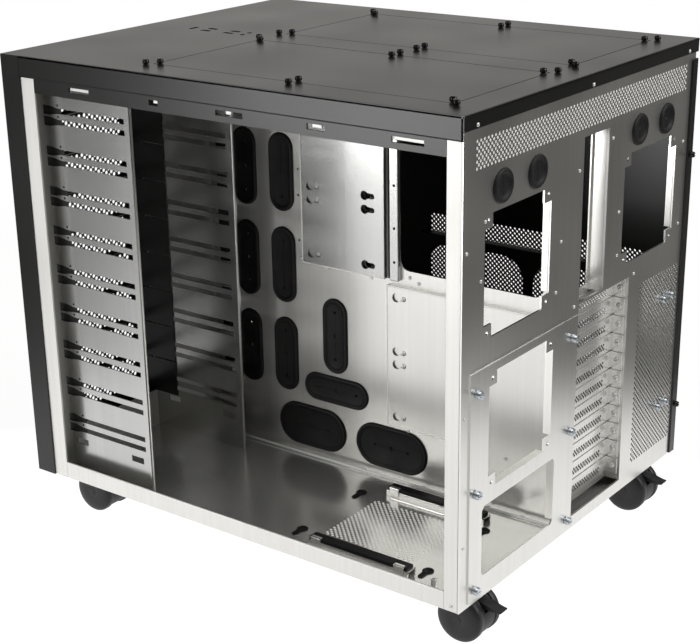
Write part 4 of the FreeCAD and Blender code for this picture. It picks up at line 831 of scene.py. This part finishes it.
def grommet(bm, place, wide, tall, bore):
    """Rubber grommet on a sheet: a rounded rim, a sunk web with a slit and round cable holes."""
    rim = sizes().rubber
    # Distance in from the rim's edge, height above the sheet
    profile = [(0.0, 0.0), (0.0, 0.45 * rim), (0.25 * rim, 0.85 * rim), (0.8 * rim, rim),
               (1.4 * rim, 0.8 * rim), (1.75 * rim, 0.35 * rim), (2.1 * rim, 0.22 * rim)]
    rings = []
    for inset, height in profile:
        if wide == tall:
            ring = circle(0, 0, wide / 2 - inset, 32)
        else:
            ring = stadium(0, 0, wide - 2 * inset, tall - 2 * inset)
        rings.append([place @ Vector((u, v, height)) for u, v in ring])
    made = loops(bm, rings, closed=False)
    edges = [bm.edges.get((a, b)) for a, b in zip(made[-1], made[-1][1:] + made[-1][:1])]
    long_u, long_v = max(wide - tall, 0), max(tall - wide, 0)
    web = 0.22 * rim
    holes = [circle(0, 0, 1.3 * bore, 16)]
    if long_u or long_v:
        holes += [circle(s * 0.5 * long_u, s * 0.5 * long_v, bore, 12) for s in (-1, 1)]
    for hole in holes:
        corners = [bm.verts.new(place @ Vector((u, v, web))) for u, v in hole]
        edges += [bm.edges.new(pair) for pair in zip(corners, corners[1:] + corners[:1])]
    bmesh.ops.triangle_fill(bm, use_beauty=True, use_dissolve=False, edges=edges)
    slit = 0.5 * MM
    spans = [(max(0.5 * long_u, slit), max(0.5 * long_v, slit))]
    if wide == tall:
        spans = [(0.28 * wide, slit), (slit, 0.28 * tall)]
    for span_u, span_v in spans:
        ridge = bmesh.new()
        bar(ridge, (-span_u, -span_v, web - 0.1 * MM), (span_u, span_v, web + 0.25 * MM), 0.2 * MM)
        bmesh.ops.transform(ridge, matrix=place, verts=ridge.verts)
        merge(bm, ridge)


class CASE_OT_grommets(bpy.types.Operator):
    """Rubber grommets of the tray, the rear panel and the floor"""
    bl_idname = "pc_case.grommets"
    bl_label = "Grommets"

    def execute(self, context):
        tray = bmesh.new()
        # Turns that stand a grommet on the near and on the far face of the tray
        faces = (Matrix(((0, 0, 1), (1, 0, 0), (0, 1, 0))), Matrix(((0, 0, -1), (-1, 0, 0), (0, 1, 0))))
        for y, z, wide, tall in OVALS:
            for x, turn in zip((TRAY, TRAY_LOW.x), faces):
                grommet(tray, Matrix.Translation((x, y, z)) @ turn.to_4x4(), wide, tall, TRAY_BORE)
        piece("tray_grommets_rubber", tray, "rubber", replaced=["tray_grommets"], smooth=50)
        rear = bmesh.new()
        for x, z in hose_places():
            grommet(rear, rearward(x, REAR, z), HOSE_RIM, HOSE_RIM, HOSE_BORE)
        piece("rear_grommets_rubber", rear, "rubber", replaced=["rear_grommets"], smooth=50)
        feet = bmesh.new()
        for x, y in FEET:
            turned(feet, upright(x, y, BASE + WALL), FOOT_RING, 24)
            tail = stadium(x + TAIL_SHIFT, y, TAIL_LONG, TAIL_WIDE)
            prism(feet, upright(0, 0, BASE + WALL), tail, 0.0, TAIL_HIGH, TAIL_ROUND)
        piece("floor_grommets_rubber", feet, "rubber", replaced=["floor_grommets"], smooth=50)
        return {"FINISHED"}


# Tray: window, its corners, the slit and the frame beside it, along and up
UPPER_FOOT = BASE + 234 * MM
TRAY_WINDOW = (REAR - 209 * MM, BASE + 246 * MM, REAR - 35 * MM, BASE + 400 * MM)
WINDOW_CORNER = 12 * MM
TRAY_SLIT = (REAR - 224.4 * MM, UPPER_FOOT, REAR - 217 * MM, TRAY_HIGH.z - 6 * MM)
FRAME_ENDS = (REAR - 218.4 * MM, REAR - 207.4 * MM)
FRAME_PIN_Y, FRAME_PIN_HEAD = REAR - 212 * MM, 3 * MM
FRAME_PINS = [309 * MM, 346 * MM, 392 * MM, 434 * MM]
# Ledge under the window: ends, underside and reach
TRAY_LEDGE, TRAY_LEDGE_Z, TRAY_LEDGE_REACH = (REAR - 222 * MM, REAR - 20 * MM), BASE + 227.5 * MM, 7 * MM
# Near-white bar along the edge of the tray's foot, a painted highlight: width, height and rounding
FOOT_EDGE_WIDE, FOOT_EDGE_HIGH, FOOT_EDGE_ROUND = 1.8 * MM, 3.4 * MM, 0.8 * MM
# Keyholes of the plates, and the screws that sit in their tails
KEY_HOLE, KEY_SLOT, KEY_TAIL = 10 * MM, 6 * MM, 13 * MM
KEY_SEAT, KEY_HEAD = 9 * MM, 5 * MM
PLATE_KEYS = {"upper": (REAR - 323 * MM, REAR - 250 * MM), "lower": (REAR - 210 * MM, REAR - 137 * MM)}
KEY_ROWS = {"upper": UPPER_FOOT, "lower": BASE + 67 * MM}
KEY_RISES = [12 * MM, 73 * MM, 88 * MM, 149 * MM]
# Plates: gauge, height of face and backing above the tray, and the near-white bars along their edges that
# paint highlights
PLATE_GAUGE, PLATE_RISE, PLATE_BACK = 1.2 * MM, 6 * MM, 3.6 * MM
EDGE_OVER, EDGE_PROUD, EDGE_ROUND = 0.3 * MM, 0.4 * MM, 0.5 * MM
PLATE_FINISH = {"upper": "aluminium greyer", "lower": "aluminium z"}
# Small holes and screws of the tray, along and up, and screws along its foot
TRAY_HOLE = 3 * MM
TRAY_HOLES = [(y * MM, z * MM) for y, z in (
    (58.5, 389.7), (58.5, 344.5), (58.5, 307.2), (-68.5, 390.4), (-69, 361.2), (-69, 310), (58.5, 430),
    (-100, 420), (-100, 300))]
TRAY_SCREWS = [(y * MM, z * MM) for y, z in (
    (-31.8, 284.8), (28.8, 284.4), (-66.4, 290.2), (78.6, 293.1), (90.1, 288.6), (76, 116), (200, 116),
    (150, 288.6))]
FOOT_SCREWS, FOOT_SCREW_STEP = [y * MM for y in (183, 225, 100, 20)], 5 * MM


class CASE_OT_tray(bpy.types.Operator):
    """Board tray with round-cornered window, open keyholes, foot and ledge, and its small screws"""
    bl_idname = "pc_case.tray"
    bl_label = "Board tray"

    def execute(self, context):
        rim = 2 * sizes().rubber
        outlines = [rectangle(TRAY_LOW.y, TRAY_LOW.z, TRAY_HIGH.y, TRAY_HIGH.z),
                    rounded(*TRAY_WINDOW, WINDOW_CORNER)]
        outlines += [stadium(y, z, wide - rim, tall - rim) for y, z, wide, tall in OVALS]
        outlines += [keyhole(PLATE_KEYS["upper"][1], KEY_ROWS["upper"] + rise) for rise in KEY_RISES]
        outlines += [circle(y, z, TRAY_HOLE / 2, 12) for y, z in TRAY_HOLES]
        outlines.append(rectangle(*TRAY_SLIT))
        bm = bmesh.new()
        sheet(bm, on_side(TRAY), outlines, thickness=Vector((-THIN, 0, 0)))
        bar(bm, (TRAY - THIN / 2, TRAY_LOW.y, TRAY_LOW.z), (TRAY_HIGH.x, TRAY_HIGH.y, TRAY_LOW.z + THIN))
        bar(bm, (TRAY - THIN / 2, TRAY_LEDGE[0], TRAY_LEDGE_Z),
            (TRAY + TRAY_LEDGE_REACH, TRAY_LEDGE[1], TRAY_LEDGE_Z + THIN))
        piece("motherboard_tray_sheet", bm, "aluminium z", replaced=["motherboard_tray"])
        # Near-white bar along the tray's foot: a painted highlight line
        foot = bmesh.new()
        bar(foot, (TRAY_HIGH.x - FOOT_EDGE_WIDE, TRAY_LOW.y, TRAY_LOW.z),
            (TRAY_HIGH.x, TRAY_HIGH.y, TRAY_LOW.z + FOOT_EDGE_HIGH), FOOT_EDGE_ROUND)
        piece("tray_foot_edge_highlight", foot, "edge")
        heads = bmesh.new()
        for y, z in TRAY_SCREWS:
            rivet(heads, sideward(TRAY, y, z))
        for label, columns in PLATE_KEYS.items():
            for rise in KEY_RISES:
                place = sideward(TRAY + PLATE_BACK, columns[0] + KEY_SEAT, KEY_ROWS[label] + rise)
                rivet(heads, place, KEY_HEAD)
        for y in FOOT_SCREWS:
            rivet(heads, upright(TRAY + FOOT_SCREW_STEP, y, TRAY_LOW.z + THIN))
        piece("tray_screws", heads, "satin", smooth=40)
        return {"FINISHED"}


class CASE_OT_tray_plates(bpy.types.Operator):
    """Screwed tray plates with folded edges and keyholes, and the frame beside the window"""
    bl_idname = "pc_case.tray_plates"
    bl_label = "Tray plates"

    def execute(self, context):
        inwards = Vector((-PLATE_GAUGE, 0, 0))
        face, proud = TRAY + PLATE_RISE, TRAY + PLATE_RISE + EDGE_PROUD
        edges = bmesh.new()
        for label, columns in PLATE_KEYS.items():
            name = f"tray_plate_{label}"
            low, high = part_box(name)
            keys = [keyhole(y, KEY_ROWS[label] + row) for y in columns for row in KEY_RISES]
            bm = bmesh.new()
            sheet(bm, on_side(face), [rectangle(low.y, low.z, high.y, high.z)] + keys, thickness=inwards)
            for y in (low.y, high.y - PLATE_GAUGE):
                bar(bm, (TRAY, y, low.z), (face, y + PLATE_GAUGE, high.z))
            bar(bm, (TRAY, low.y, low.z), (face, high.y, low.z + PLATE_GAUGE))
            backing = bmesh.new()
            through = keys[len(KEY_RISES):] if label == "upper" else []
            outline = rectangle(low.y + MM, low.z + MM, high.y - MM, high.z - MM)
            sheet(backing, on_side(TRAY + PLATE_BACK), [outline] + through, thickness=inwards)
            merge(bm, backing)
            piece(f"{name}_folded", bm, PLATE_FINISH[label], replaced=[name])
            # Near-white bars along each plate's front and lower edges: painted highlights
            bar(edges, (TRAY, low.y - EDGE_OVER, low.z), (proud, low.y + MM, high.z), EDGE_ROUND)
            bar(edges, (TRAY, low.y, low.z - EDGE_OVER), (proud, high.y, low.z + MM), EDGE_ROUND)
        piece("tray_plate_edge_highlights", edges, "edge", smooth=40)
        frame_bar = bmesh.new()
        bar(frame_bar, (TRAY, FRAME_ENDS[0], UPPER_FOOT), (face, FRAME_ENDS[1], TRAY_HIGH.z), MM)
        piece("tray_window_frame", frame_bar, "aluminium greyer")
        pins = bmesh.new()
        for z in FRAME_PINS:
            rivet(pins, sideward(face, FRAME_PIN_Y, z), FRAME_PIN_HEAD)
        piece("tray_window_pins", pins, "nylon", smooth=40)
        return {"FINISHED"}


# Power supply rests: foot flange, clips over the rubber, and the rubber strips
FLANGE_INSET, FLANGE_REACH, FLANGE_GAUGE = 9 * MM, 5 * MM, 1.2 * MM
CLIP_INSET, CLIP_LONG, CLIP_FOOT, CLIP_TOP, CLIP_REACH = 5 * MM, 12 * MM, 2 * MM, 4.6 * MM, 4 * MM
PAD_INSET, PAD_HIGH = 2 * MM, 3.6 * MM


class CASE_OT_supply_rests(bpy.types.Operator):
    """Power supply rests: folded channels, rubber strips and the clips that hold them"""
    bl_idname = "pc_case.supply_rests"
    bl_label = "Supply rests"

    def execute(self, context):
        strips = bmesh.new()
        for name in ("psu_rest_near", "psu_rest_far"):
            low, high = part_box(name)
            bm = bmesh.new()
            bar(bm, (low.x, low.y, high.z - THIN), high)
            bar(bm, low, (low.x + THIN, high.y, high.z))
            bar(bm, (high.x - THIN, low.y, low.z), high)
            bar(bm, (high.x - THIN, low.y + FLANGE_INSET, low.z),
                (high.x + FLANGE_REACH, high.y - FLANGE_INSET, low.z + FLANGE_GAUGE))
            for start in (low.y + CLIP_INSET, high.y - CLIP_INSET - CLIP_LONG):
                tip = (high.x + MM, start + CLIP_LONG, high.z + CLIP_TOP)
                bar(bm, (high.x - MM, start, low.z + CLIP_FOOT), tip)
                bar(bm, (high.x - CLIP_REACH, start, high.z + PAD_HIGH), tip)
            piece(f"{name}_folded", bm, "aluminium y", replaced=[name])
            bar(strips, (low.x + THIN, low.y + PAD_INSET, high.z),
                (high.x - MM, high.y - PAD_INSET, high.z + PAD_HIGH))
        piece("psu_rest_pads_rubber", strips, "rubber", replaced=["psu_rest_pads"])
        return {"FINISHED"}


# Side rail: start and end of each hook slot and of the tab in it, in millimetres along the case
RAIL_SLOTS = [(-195.6, -167.2), (-85.4, -73.8), (0, 33), (108, 128.3), (201, 235)]
RAIL_TABS = [(-195.6, -168), (-81, -74.5), (11, 18), (113, 124), (201, 234)]
# Middle of the hook slots below the rail's top, and half their height
RAIL_SLOT_DROP, RAIL_SLOT_HALF = 26.5 * MM, 2.7 * MM


class CASE_OT_side_rail(bpy.types.Operator):
    """Near side rail with its hook slots and the bright tabs behind them"""
    bl_idname = "pc_case.side_rail"
    bl_label = "Side rail"

    def execute(self, context):
        low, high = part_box("side_rail_right")
        middle, half = high.z - RAIL_SLOT_DROP, RAIL_SLOT_HALF
        outlines = [rectangle(low.y, low.z, high.y, high.z)]
        outlines += [rectangle(a * MM, middle - half, b * MM, middle + half) for a, b in RAIL_SLOTS]
        bm = bmesh.new()
        sheet(bm, on_side(high.x), outlines, thickness=Vector((-WALL, 0, 0)))
        bar(bm, (low.x, low.y, high.z - WALL), (high.x - WALL / 2, high.y, high.z))
        piece("side_rail_right_sheet", bm, "black y", replaced=["side_rail_right"])
        tabs = bmesh.new()
        for a, b in RAIL_TABS:
            bar(tabs, (high.x - 2 * WALL, a * MM, middle - half / 3), (high.x - WALL, b * MM, high.z))
        piece("rail_hook_tabs", tabs, "satin")
        return {"FINISHED"}


# Side fan openings: middle between them, half their pitch, half width and height, corner radius
BRACKET_MIDDLE, BRACKET_STEP = REAR - 188 * MM, 73 * MM
BRACKET_HALF, BRACKET_RISE, BRACKET_CORNER = 66.5 * MM, 60.5 * MM, 30 * MM
# Rounding of the bracket's level folds and of its front fold
LEVEL_ROUND, FRONT_ROUND = 0.7 * MM, 0.5 * MM


class CASE_OT_fan_bracket(bpy.types.Operator):
    """Black bracket on the far panel with two round-cornered fan openings"""
    bl_idname = "pc_case.fan_bracket"
    bl_label = "Side fan bracket"

    def execute(self, context):
        low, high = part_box("side_fan_bracket")
        level = (low.z + high.z) / 2
        outlines = [rectangle(low.y, low.z, high.y, high.z)]
        for y in (BRACKET_MIDDLE + BRACKET_STEP, BRACKET_MIDDLE - BRACKET_STEP):
            outlines.append(rounded(y - BRACKET_HALF, level - BRACKET_RISE, y + BRACKET_HALF,
                                    level + BRACKET_RISE, BRACKET_CORNER))
        bm = bmesh.new()
        sheet(bm, on_side(high.x), outlines, thickness=Vector((-THIN, 0, 0)))
        bar(bm, (low.x, low.y, high.z - THIN), high, LEVEL_ROUND)
        bar(bm, low, (high.x, high.y, low.z + THIN), LEVEL_ROUND)
        bar(bm, low, (high.x, low.y + THIN, high.z), FRONT_ROUND)
        piece("side_fan_bracket_sheet", bm, "black y", replaced=["side_fan_bracket"])
        return {"FINISHED"}


# Small screws and rivets, across or along the case and up
REAR_RIVETS = [(x * MM, z * MM) for x, z in (
    (20.6, 435.8), (-45.3, 454.7), (-64.7, 375.6), (189, 426.4), (219, 404.7), (195.3, 373.6), (52.5, 374.1),
    (59.3, 325), (-64.7, 330), (219, 120), (219, 250), (-105, 300), (-206, 330), (-206, 420), (22, 300))]
REAR_RIVET_HEAD = 3.4 * MM
SKIRT_SCREWS = [(x * MM, 515.5 * MM) for x in (206.9, 3.4, -204.8)]
POST_SCREWS = [(266 * MM, 59.6 * MM)]
# Post on the floor: its place, then radius and height
STANDOFF_PLACE = (193.8 * MM, 226.1 * MM)
STANDOFF = [(3 * MM, 0.0), (3 * MM, 5.5 * MM), (2.6 * MM, 6 * MM), (1.6 * MM, 6 * MM), (1.4 * MM, 3 * MM)]
# Filter fleece: reach past the strip, and its near and far face behind the rear
FLEECE_OVER, FLEECE_NEAR, FLEECE_FAR = 2 * MM, 0.3 * MM, WALL + MM


class CASE_OT_small_screws(bpy.types.Operator):
    """Rivets and small screws of the rear panel, skirt and posts, and the filter behind the strip"""
    bl_idname = "pc_case.small_screws"
    bl_label = "Small screws"

    def execute(self, context):
        heads = bmesh.new()
        for x, z in REAR_RIVETS:
            rivet(heads, rearward(x, REAR, z), REAR_RIVET_HEAD)
        for x, z in SKIRT_SCREWS:
            rivet(heads, rearward(x, REAR + WALL, z))
        for y, z in POST_SCREWS:
            rivet(heads, sideward(SKIN, y, z))
        turned(heads, upright(*STANDOFF_PLACE, BASE + WALL), STANDOFF, 12)
        piece("small_screws", heads, "satin", smooth=40)
        fleece = bmesh.new()
        u0, v0, u1, v1 = STRIP
        bar(fleece, (u0 - FLEECE_OVER, REAR - FLEECE_FAR, v0 - FLEECE_OVER),
            (u1 + FLEECE_OVER, REAR - FLEECE_NEAR, v1 + FLEECE_OVER))
        piece("strip_filter", fleece, "fleece")
        return {"FINISHED"}


# Casters: axle from the case's middle, bore of a wheel, and the axle's radius and half length
AXLE_X, WHEEL_BORE, AXLE_RADIUS, AXLE_HALF = 172.5 * MM, 3.1 * MM, 2.9 * MM, 22.4 * MM
# Hood: drum radius, neck, head and lower cut from the axle; half widths of hood, pedal slot and core
DRUM, NECK, HEAD, CUT = 24 * MM, -31 * MM, 25.7 * MM, -17 * MM
HOOD_HALF, SLOT_HALF, CORE_HALF = 10 * MM, 6.8 * MM, 6.9 * MM
# Brake pedal: half width, and its outline from the round end at the pivot to the tip and back
PEDAL_HALF, PEDAL_ROUND = 6.5 * MM, 0.7 * MM
PEDAL = [(28 * MM, 11.9 * MM), (36 * MM, 11.5 * MM), (39.6 * MM, 12.4 * MM), (40 * MM, 14 * MM),
         (34 * MM, 14.4 * MM), (26 * MM, 15.8 * MM), (20 * MM, 18 * MM)]


class CASE_OT_casters(bpy.types.Operator):
    """Twin wheel casters: domed wheels, rounded hoods and brake pedals"""
    bl_idname = "pc_case.casters"
    bl_label = "Casters"

    def execute(self, context):
        for name, (side, end) in CASTERS.items():
            low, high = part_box(f"caster_wheel_{name}_a")
            axle = Vector((side * AXLE_X, (low.y + high.y) / 2, (low.z + high.z) / 2))
            self.wheels(name, axle, end)
            self.hood(name, axle, end)
        return {"FINISHED"}

    def wheels(self, name, axle, end):
        """Two wheels with domed cheeks and a hub."""
        radius = sizes().wheel / 2
        # Radius, and reach along the axle from the caster's middle
        profile = [(WHEEL_BORE, 10.6 * MM), (0.95 * radius, 10.6 * MM), (0.985 * radius, 10.9 * MM),
                   (radius, 11.6 * MM), (radius, 16.4 * MM), (0.985 * radius, 17.8 * MM),
                   (0.94 * radius, 19.3 * MM), (0.86 * radius, 20.6 * MM), (0.74 * radius, 21.6 * MM),
                   (0.56 * radius, 22.2 * MM), (0.3 * radius, 22.5 * MM), (0.27 * radius, 22.2 * MM),
                   (0.2 * radius, 22.2 * MM), (0.18 * radius, 22.55 * MM), (WHEEL_BORE, 22.6 * MM)]
        for hand, way in (("a", end), ("b", -end)):
            bm = bmesh.new()
            place = Matrix.Translation(axle) @ Matrix.Rotation(math.radians(way * 90), 4, "Y")
            turned(bm, place, profile, 64)
            node = f"caster_wheel_{name}_{hand}"
            piece(f"{node}_moulded", bm, "wheel", f"wheel_{name}_{hand}", [node], smooth=30)

    def hood(self, name, axle, end):
        """Hood between the wheels; the braked ones have a slot with the pedal in it."""
        foot = math.degrees(math.asin(CUT / DRUM))
        heel = arc(0, 0, DRUM, 180, 180 - foot, 8)
        whole = arc(0, 0, DRUM, foot, 65, 20) + [(12 * MM, HEAD), (NECK, HEAD), (NECK, 0.0)] + heel
        turn = Matrix(((0, 0, 1), (end, 0, 0), (0, 1, 0))).to_4x4()
        place = Matrix.Translation(axle) @ turn
        bm = bmesh.new()
        node = f"caster_hood_{name}"
        if end < 0:
            prism(bm, place, whole, -HOOD_HALF, HOOD_HALF, 1.2 * MM)
        else:
            slot = [(14 * MM, 11.5 * MM), (9.5 * MM, 11.5 * MM), (9.5 * MM, HEAD), (NECK, HEAD), (NECK, 0.0)]
            core = arc(0, 0, DRUM, foot, 18, 12) + slot + heel
            prism(bm, place, whole, SLOT_HALF, HOOD_HALF, 0.8 * MM)
            prism(bm, place, whole, -HOOD_HALF, -SLOT_HALF, 0.8 * MM)
            prism(bm, place, core, -CORE_HALF, CORE_HALF)
        stub = Matrix.Translation(axle) @ Matrix.Rotation(math.radians(90), 4, "Y")
        turned(bm, stub, [(AXLE_RADIUS, -AXLE_HALF), (AXLE_RADIUS, AXLE_HALF)], 24)
        piece(f"{node}_moulded", bm, "nylon", f"caster_{name}", [node], smooth=35)
        if end > 0:
            pedal = bmesh.new()
            outline = arc(14 * MM, 16 * MM, 3.5 * MM, 80, 270, 10) + PEDAL
            prism(pedal, place, outline, -PEDAL_HALF, PEDAL_HALF, PEDAL_ROUND)
            lever = f"brake_lever_{name}"
            piece(f"{lever}_moulded", pedal, "nylon", f"brake_{name}", [lever], smooth=35)


# Construction nodes that are shown as they are, by finish
KEPT = {
    "satin": ["front_frame"],
    "aluminium bright": ["rear_plate"],
    "aluminium greyer": ["bay_wall_right_outer", "bay_wall_right_inner",
                         "bay_wall_left_inner", "bay_wall_left_outer"],
    "aluminium z": ["slot_bracket"],
    "black y": ["side_rail_left"],
    "black z": ["front_bezel"],
    "zinc": ["caster_plates"],
    "nylon": ["port_block", "power_button", "reset_button"],
}


class CASE_OT_finishes(bpy.types.Operator):
    """Finishes of the construction nodes that keep their shape"""
    bl_idname = "pc_case.finishes"
    bl_label = "Finishes"

    def execute(self, context):
        for look, names in KEPT.items():
            for name in names:
                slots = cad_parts[name].data.materials
                slots.clear()
                slots.append(finish(look))
        return {"FINISHED"}


# Soft boxes: name, place, aim, width, height, watts
LAMPS = [
    ("overhead", (0.5, 0.6, 2.4), (0, 0, 0.28), 1.8, 1.8, 30),
    ("rear", (-0.9, 2.1, 1.5), (0, 0, 0.28), 1.4, 1.0, 40),
    ("open_side", (1.6, -0.75, 0.27), (0.0, -0.75, 0.27), 0.8, 0.5, 11),
    ("high_side", (1.95, -1.05, 1.25), (0, -0.4, 0.3), 1.3, 0.9, 7),
]
# Studio floor: radius, middle of what is shown, middle of the glow, foot of the open side, brighter way
FLOOR_RADIUS, FLOOR_MIDDLE, GLOW_MIDDLE = 3.0, (0.9, -0.5, 0.0), (0.3, 0.1, 0.0)
OPEN_FOOT, BRIGHT_WAY = (0.3, -0.25, 0.0), (0.616, 0.788, 0.0)
# Least glow of the floor to the camera, so that it stays pale
SEEN_GLOW = 0.93
# Way to the bright part of the room
ROOM_WAY = (-0.72, -0.54, -0.45)


class CASE_OT_stage(bpy.types.Operator):
    """Pale floor, soft studio light and the camera"""
    bl_idname = "pc_case.stage"
    bl_label = "Stage"

    def execute(self, context):
        self.floor()
        self.light(context.scene)
        self.camera(context.scene)
        return {"FINISHED"}

    def floor(self):
        """Round pale floor that fades out at its edge."""
        bm = bmesh.new()
        bmesh.ops.create_circle(bm, cap_ends=True, segments=96, radius=FLOOR_RADIUS)
        mesh = bpy.data.meshes.new("studio_floor")
        bm.to_mesh(mesh)
        bm.free()
        material, tree, shader = new_surface("lit acrylic studio floor", Roughness=0.7)
        shader.inputs["Base Color"].default_value = colours().floor
        place = add_node(tree, "ShaderNodeTexCoord").outputs["Object"]
        reach = add_node(tree, "ShaderNodeVectorMath", {0: place, 1: FLOOR_MIDDLE}, operation="DISTANCE")
        fade = add_node(tree, "ShaderNodeMapRange", {
            "Value": reach.outputs["Value"], "From Min": 1.5, "From Max": 1.8},
            interpolation_type="SMOOTHSTEP")
        # Lit most round the case, and less to the front, out of the picture, where only the metal shows it
        near = add_node(tree, "ShaderNodeVectorMath", {0: place, 1: GLOW_MIDDLE}, operation="DISTANCE")
        round_case = add_node(tree, "ShaderNodeMapRange", {
            "Value": near.outputs["Value"], "From Min": 0.7, "From Max": 1.6, "To Min": 1.04, "To Max": 0.5})
        aside = add_node(tree, "ShaderNodeVectorMath", {0: place, 1: BRIGHT_WAY}, operation="DOT_PRODUCT")
        glow = add_node(tree, "ShaderNodeMapRange", {
            "Value": aside.outputs["Value"], "From Min": -0.32, "From Max": 0.1,
            "To Min": 0.05, "To Max": 1.0}, interpolation_type="SMOOTHSTEP")
        corner = add_node(tree, "ShaderNodeVectorMath", {0: place, 1: OPEN_FOOT}, operation="DISTANCE")
        foot = add_node(tree, "ShaderNodeMapRange", {
            "Value": corner.outputs["Value"], "From Min": 0.25, "From Max": 0.65,
            "To Min": 1.0, "To Max": 0.05}, interpolation_type="SMOOTHSTEP")
        spread = add_node(tree, "ShaderNodeMath", {0: glow.outputs[0], 1: foot.outputs[0]},
                          operation="MAXIMUM")
        both = add_node(tree, "ShaderNodeMath", {0: round_case.outputs[0], 1: spread.outputs[0]},
                        operation="MULTIPLY")
        path = add_node(tree, "ShaderNodeLightPath")
        seen = add_node(tree, "ShaderNodeMath", {0: path.outputs["Is Camera Ray"], 1: SEEN_GLOW},
                        operation="MULTIPLY")
        lit = add_node(tree, "ShaderNodeMath", {0: both.outputs[0], 1: seen.outputs[0]}, operation="MAXIMUM")
        tree.links.new(lit.outputs[0], shader.inputs["Emission Strength"])
        clear = add_node(tree, "ShaderNodeBsdfTransparent")
        mix = add_node(tree, "ShaderNodeMixShader", {
            0: fade.outputs[0], 1: shader.outputs[0], 2: clear.outputs[0]})
        tree.links.new(mix.outputs[0], tree.nodes["Material Output"].inputs["Surface"])
        mesh.materials.append(material)
        made = bpy.data.objects.new("studio_floor", mesh)
        bpy.context.collection.objects.link(made)

    def light(self, scene):
        """White backdrop, a darker room in front of it and four soft boxes."""
        scene.view_settings.view_transform = "Standard"
        scene.cycles.max_bounces, scene.cycles.glossy_bounces = 16, 10
        world = bpy.data.worlds.new("studio")
        scene.world = world
        world.use_nodes = True
        tree = world.node_tree
        place = add_node(tree, "ShaderNodeTexCoord").outputs["Generated"]
        ahead = add_node(tree, "ShaderNodeVectorMath", {0: place, 1: ROOM_WAY}, operation="DOT_PRODUCT")
        glow = add_node(tree, "ShaderNodeMapRange", {
            "Value": ahead.outputs["Value"], "From Min": 0.5, "From Max": 0.95,
            "To Min": 0.05, "To Max": 0.95}, interpolation_type="SMOOTHSTEP")
        room = add_node(tree, "ShaderNodeBackground", {
            "Color": linear("#FFFDF8"), "Strength": glow.outputs[0]})
        white = add_node(tree, "ShaderNodeBackground", {"Color": (1, 1, 1, 1), "Strength": 1.0})
        path = add_node(tree, "ShaderNodeLightPath")
        mix = add_node(tree, "ShaderNodeMixShader", {
            0: path.outputs["Is Camera Ray"], 1: room.outputs[0], 2: white.outputs[0]})
        tree.links.new(mix.outputs[0], tree.nodes["World Output"].inputs["Surface"])
        for name, spot, aim, wide, tall, power in LAMPS:
            lamp = bpy.data.lights.new(name, "AREA")
            lamp.shape = "RECTANGLE"
            lamp.size, lamp.size_y, lamp.energy = wide, tall, power
            made = bpy.data.objects.new(name, lamp)
            made.location = spot
            made.rotation_euler = (Vector(aim) - Vector(spot)).to_track_quat("-Z", "Y").to_euler()
            made.visible_camera = False
            scene.collection.objects.link(made)

    def camera(self, scene):
        """Camera from behind the open side, a little above the top."""
        lens = bpy.data.cameras.new("camera")
        lens.sensor_width, lens.lens = 36.0, 79.8
        lens.shift_x, lens.shift_y = 0.0054, 0.0373
        lens.clip_start = 0.05
        made = bpy.data.objects.new("camera", lens)
        spot = Vector((1.29949, 0.95803, 0.80244))
        right = Vector((-0.5970198, 0.8020658, -0.0160534))
        up = Vector((-0.2928170, -0.1992415, 0.9351797))
        back = Vector((0.7468772, 0.5630215, 0.3538096))
        turn = Matrix((right, up, back)).transposed().to_4x4()
        made.matrix_world = Matrix.Translation(spot) @ turn
        scene.collection.objects.link(made)
        scene.camera = made


# Operators in the order that builds the case
OPERATORS = [
    CASE_OT_finishes, CASE_OT_rear_panel, CASE_OT_base_pan, CASE_OT_side_panel, CASE_OT_slot_covers,
    CASE_OT_bay_covers, CASE_OT_thumbscrews, CASE_OT_grommets, CASE_OT_tray, CASE_OT_tray_plates,
    CASE_OT_supply_rests, CASE_OT_top, CASE_OT_side_rail, CASE_OT_fan_bracket, CASE_OT_small_screws,
    CASE_OT_casters, CASE_OT_stage,
]


class CASE_PT_panel(bpy.types.Panel):
    """Sizes, colours and steps of the PC case"""
    bl_idname = "CASE_PT_panel"
    bl_label = "PC case"
    bl_space_type = "VIEW_3D"
    bl_region_type = "UI"
    bl_category = "PC case"

    def draw(self, context):
        for group in (context.scene.pc_case_sizes, context.scene.pc_case_colours):
            for name in group.bl_rna.properties.keys():
                if name not in ("rna_type", "name"):
                    self.layout.prop(group, name)
        for operator in OPERATORS:
            self.layout.operator(operator.bl_idname)


CLASSES = [CaseSizes, CaseColours, *OPERATORS, CASE_PT_panel]


def register():
    """Add the classes and the scene's settings."""
    for item in CLASSES:
        bpy.utils.register_class(item)
    bpy.types.Scene.pc_case_sizes = PointerProperty(type=CaseSizes)
    bpy.types.Scene.pc_case_colours = PointerProperty(type=CaseColours)


def unregister():
    """Take the classes and the scene's settings away."""
    del bpy.types.Scene.pc_case_colours
    del bpy.types.Scene.pc_case_sizes
    for item in reversed(CLASSES):
        bpy.utils.unregister_class(item)


def main():
    """Register the classes and the scene's settings, then build every piece."""
    register()
    for operator in OPERATORS:
        group, name = operator.bl_idname.split(".")
        getattr(getattr(bpy.ops, group), name)()


if __name__ == "__main__":
    main()
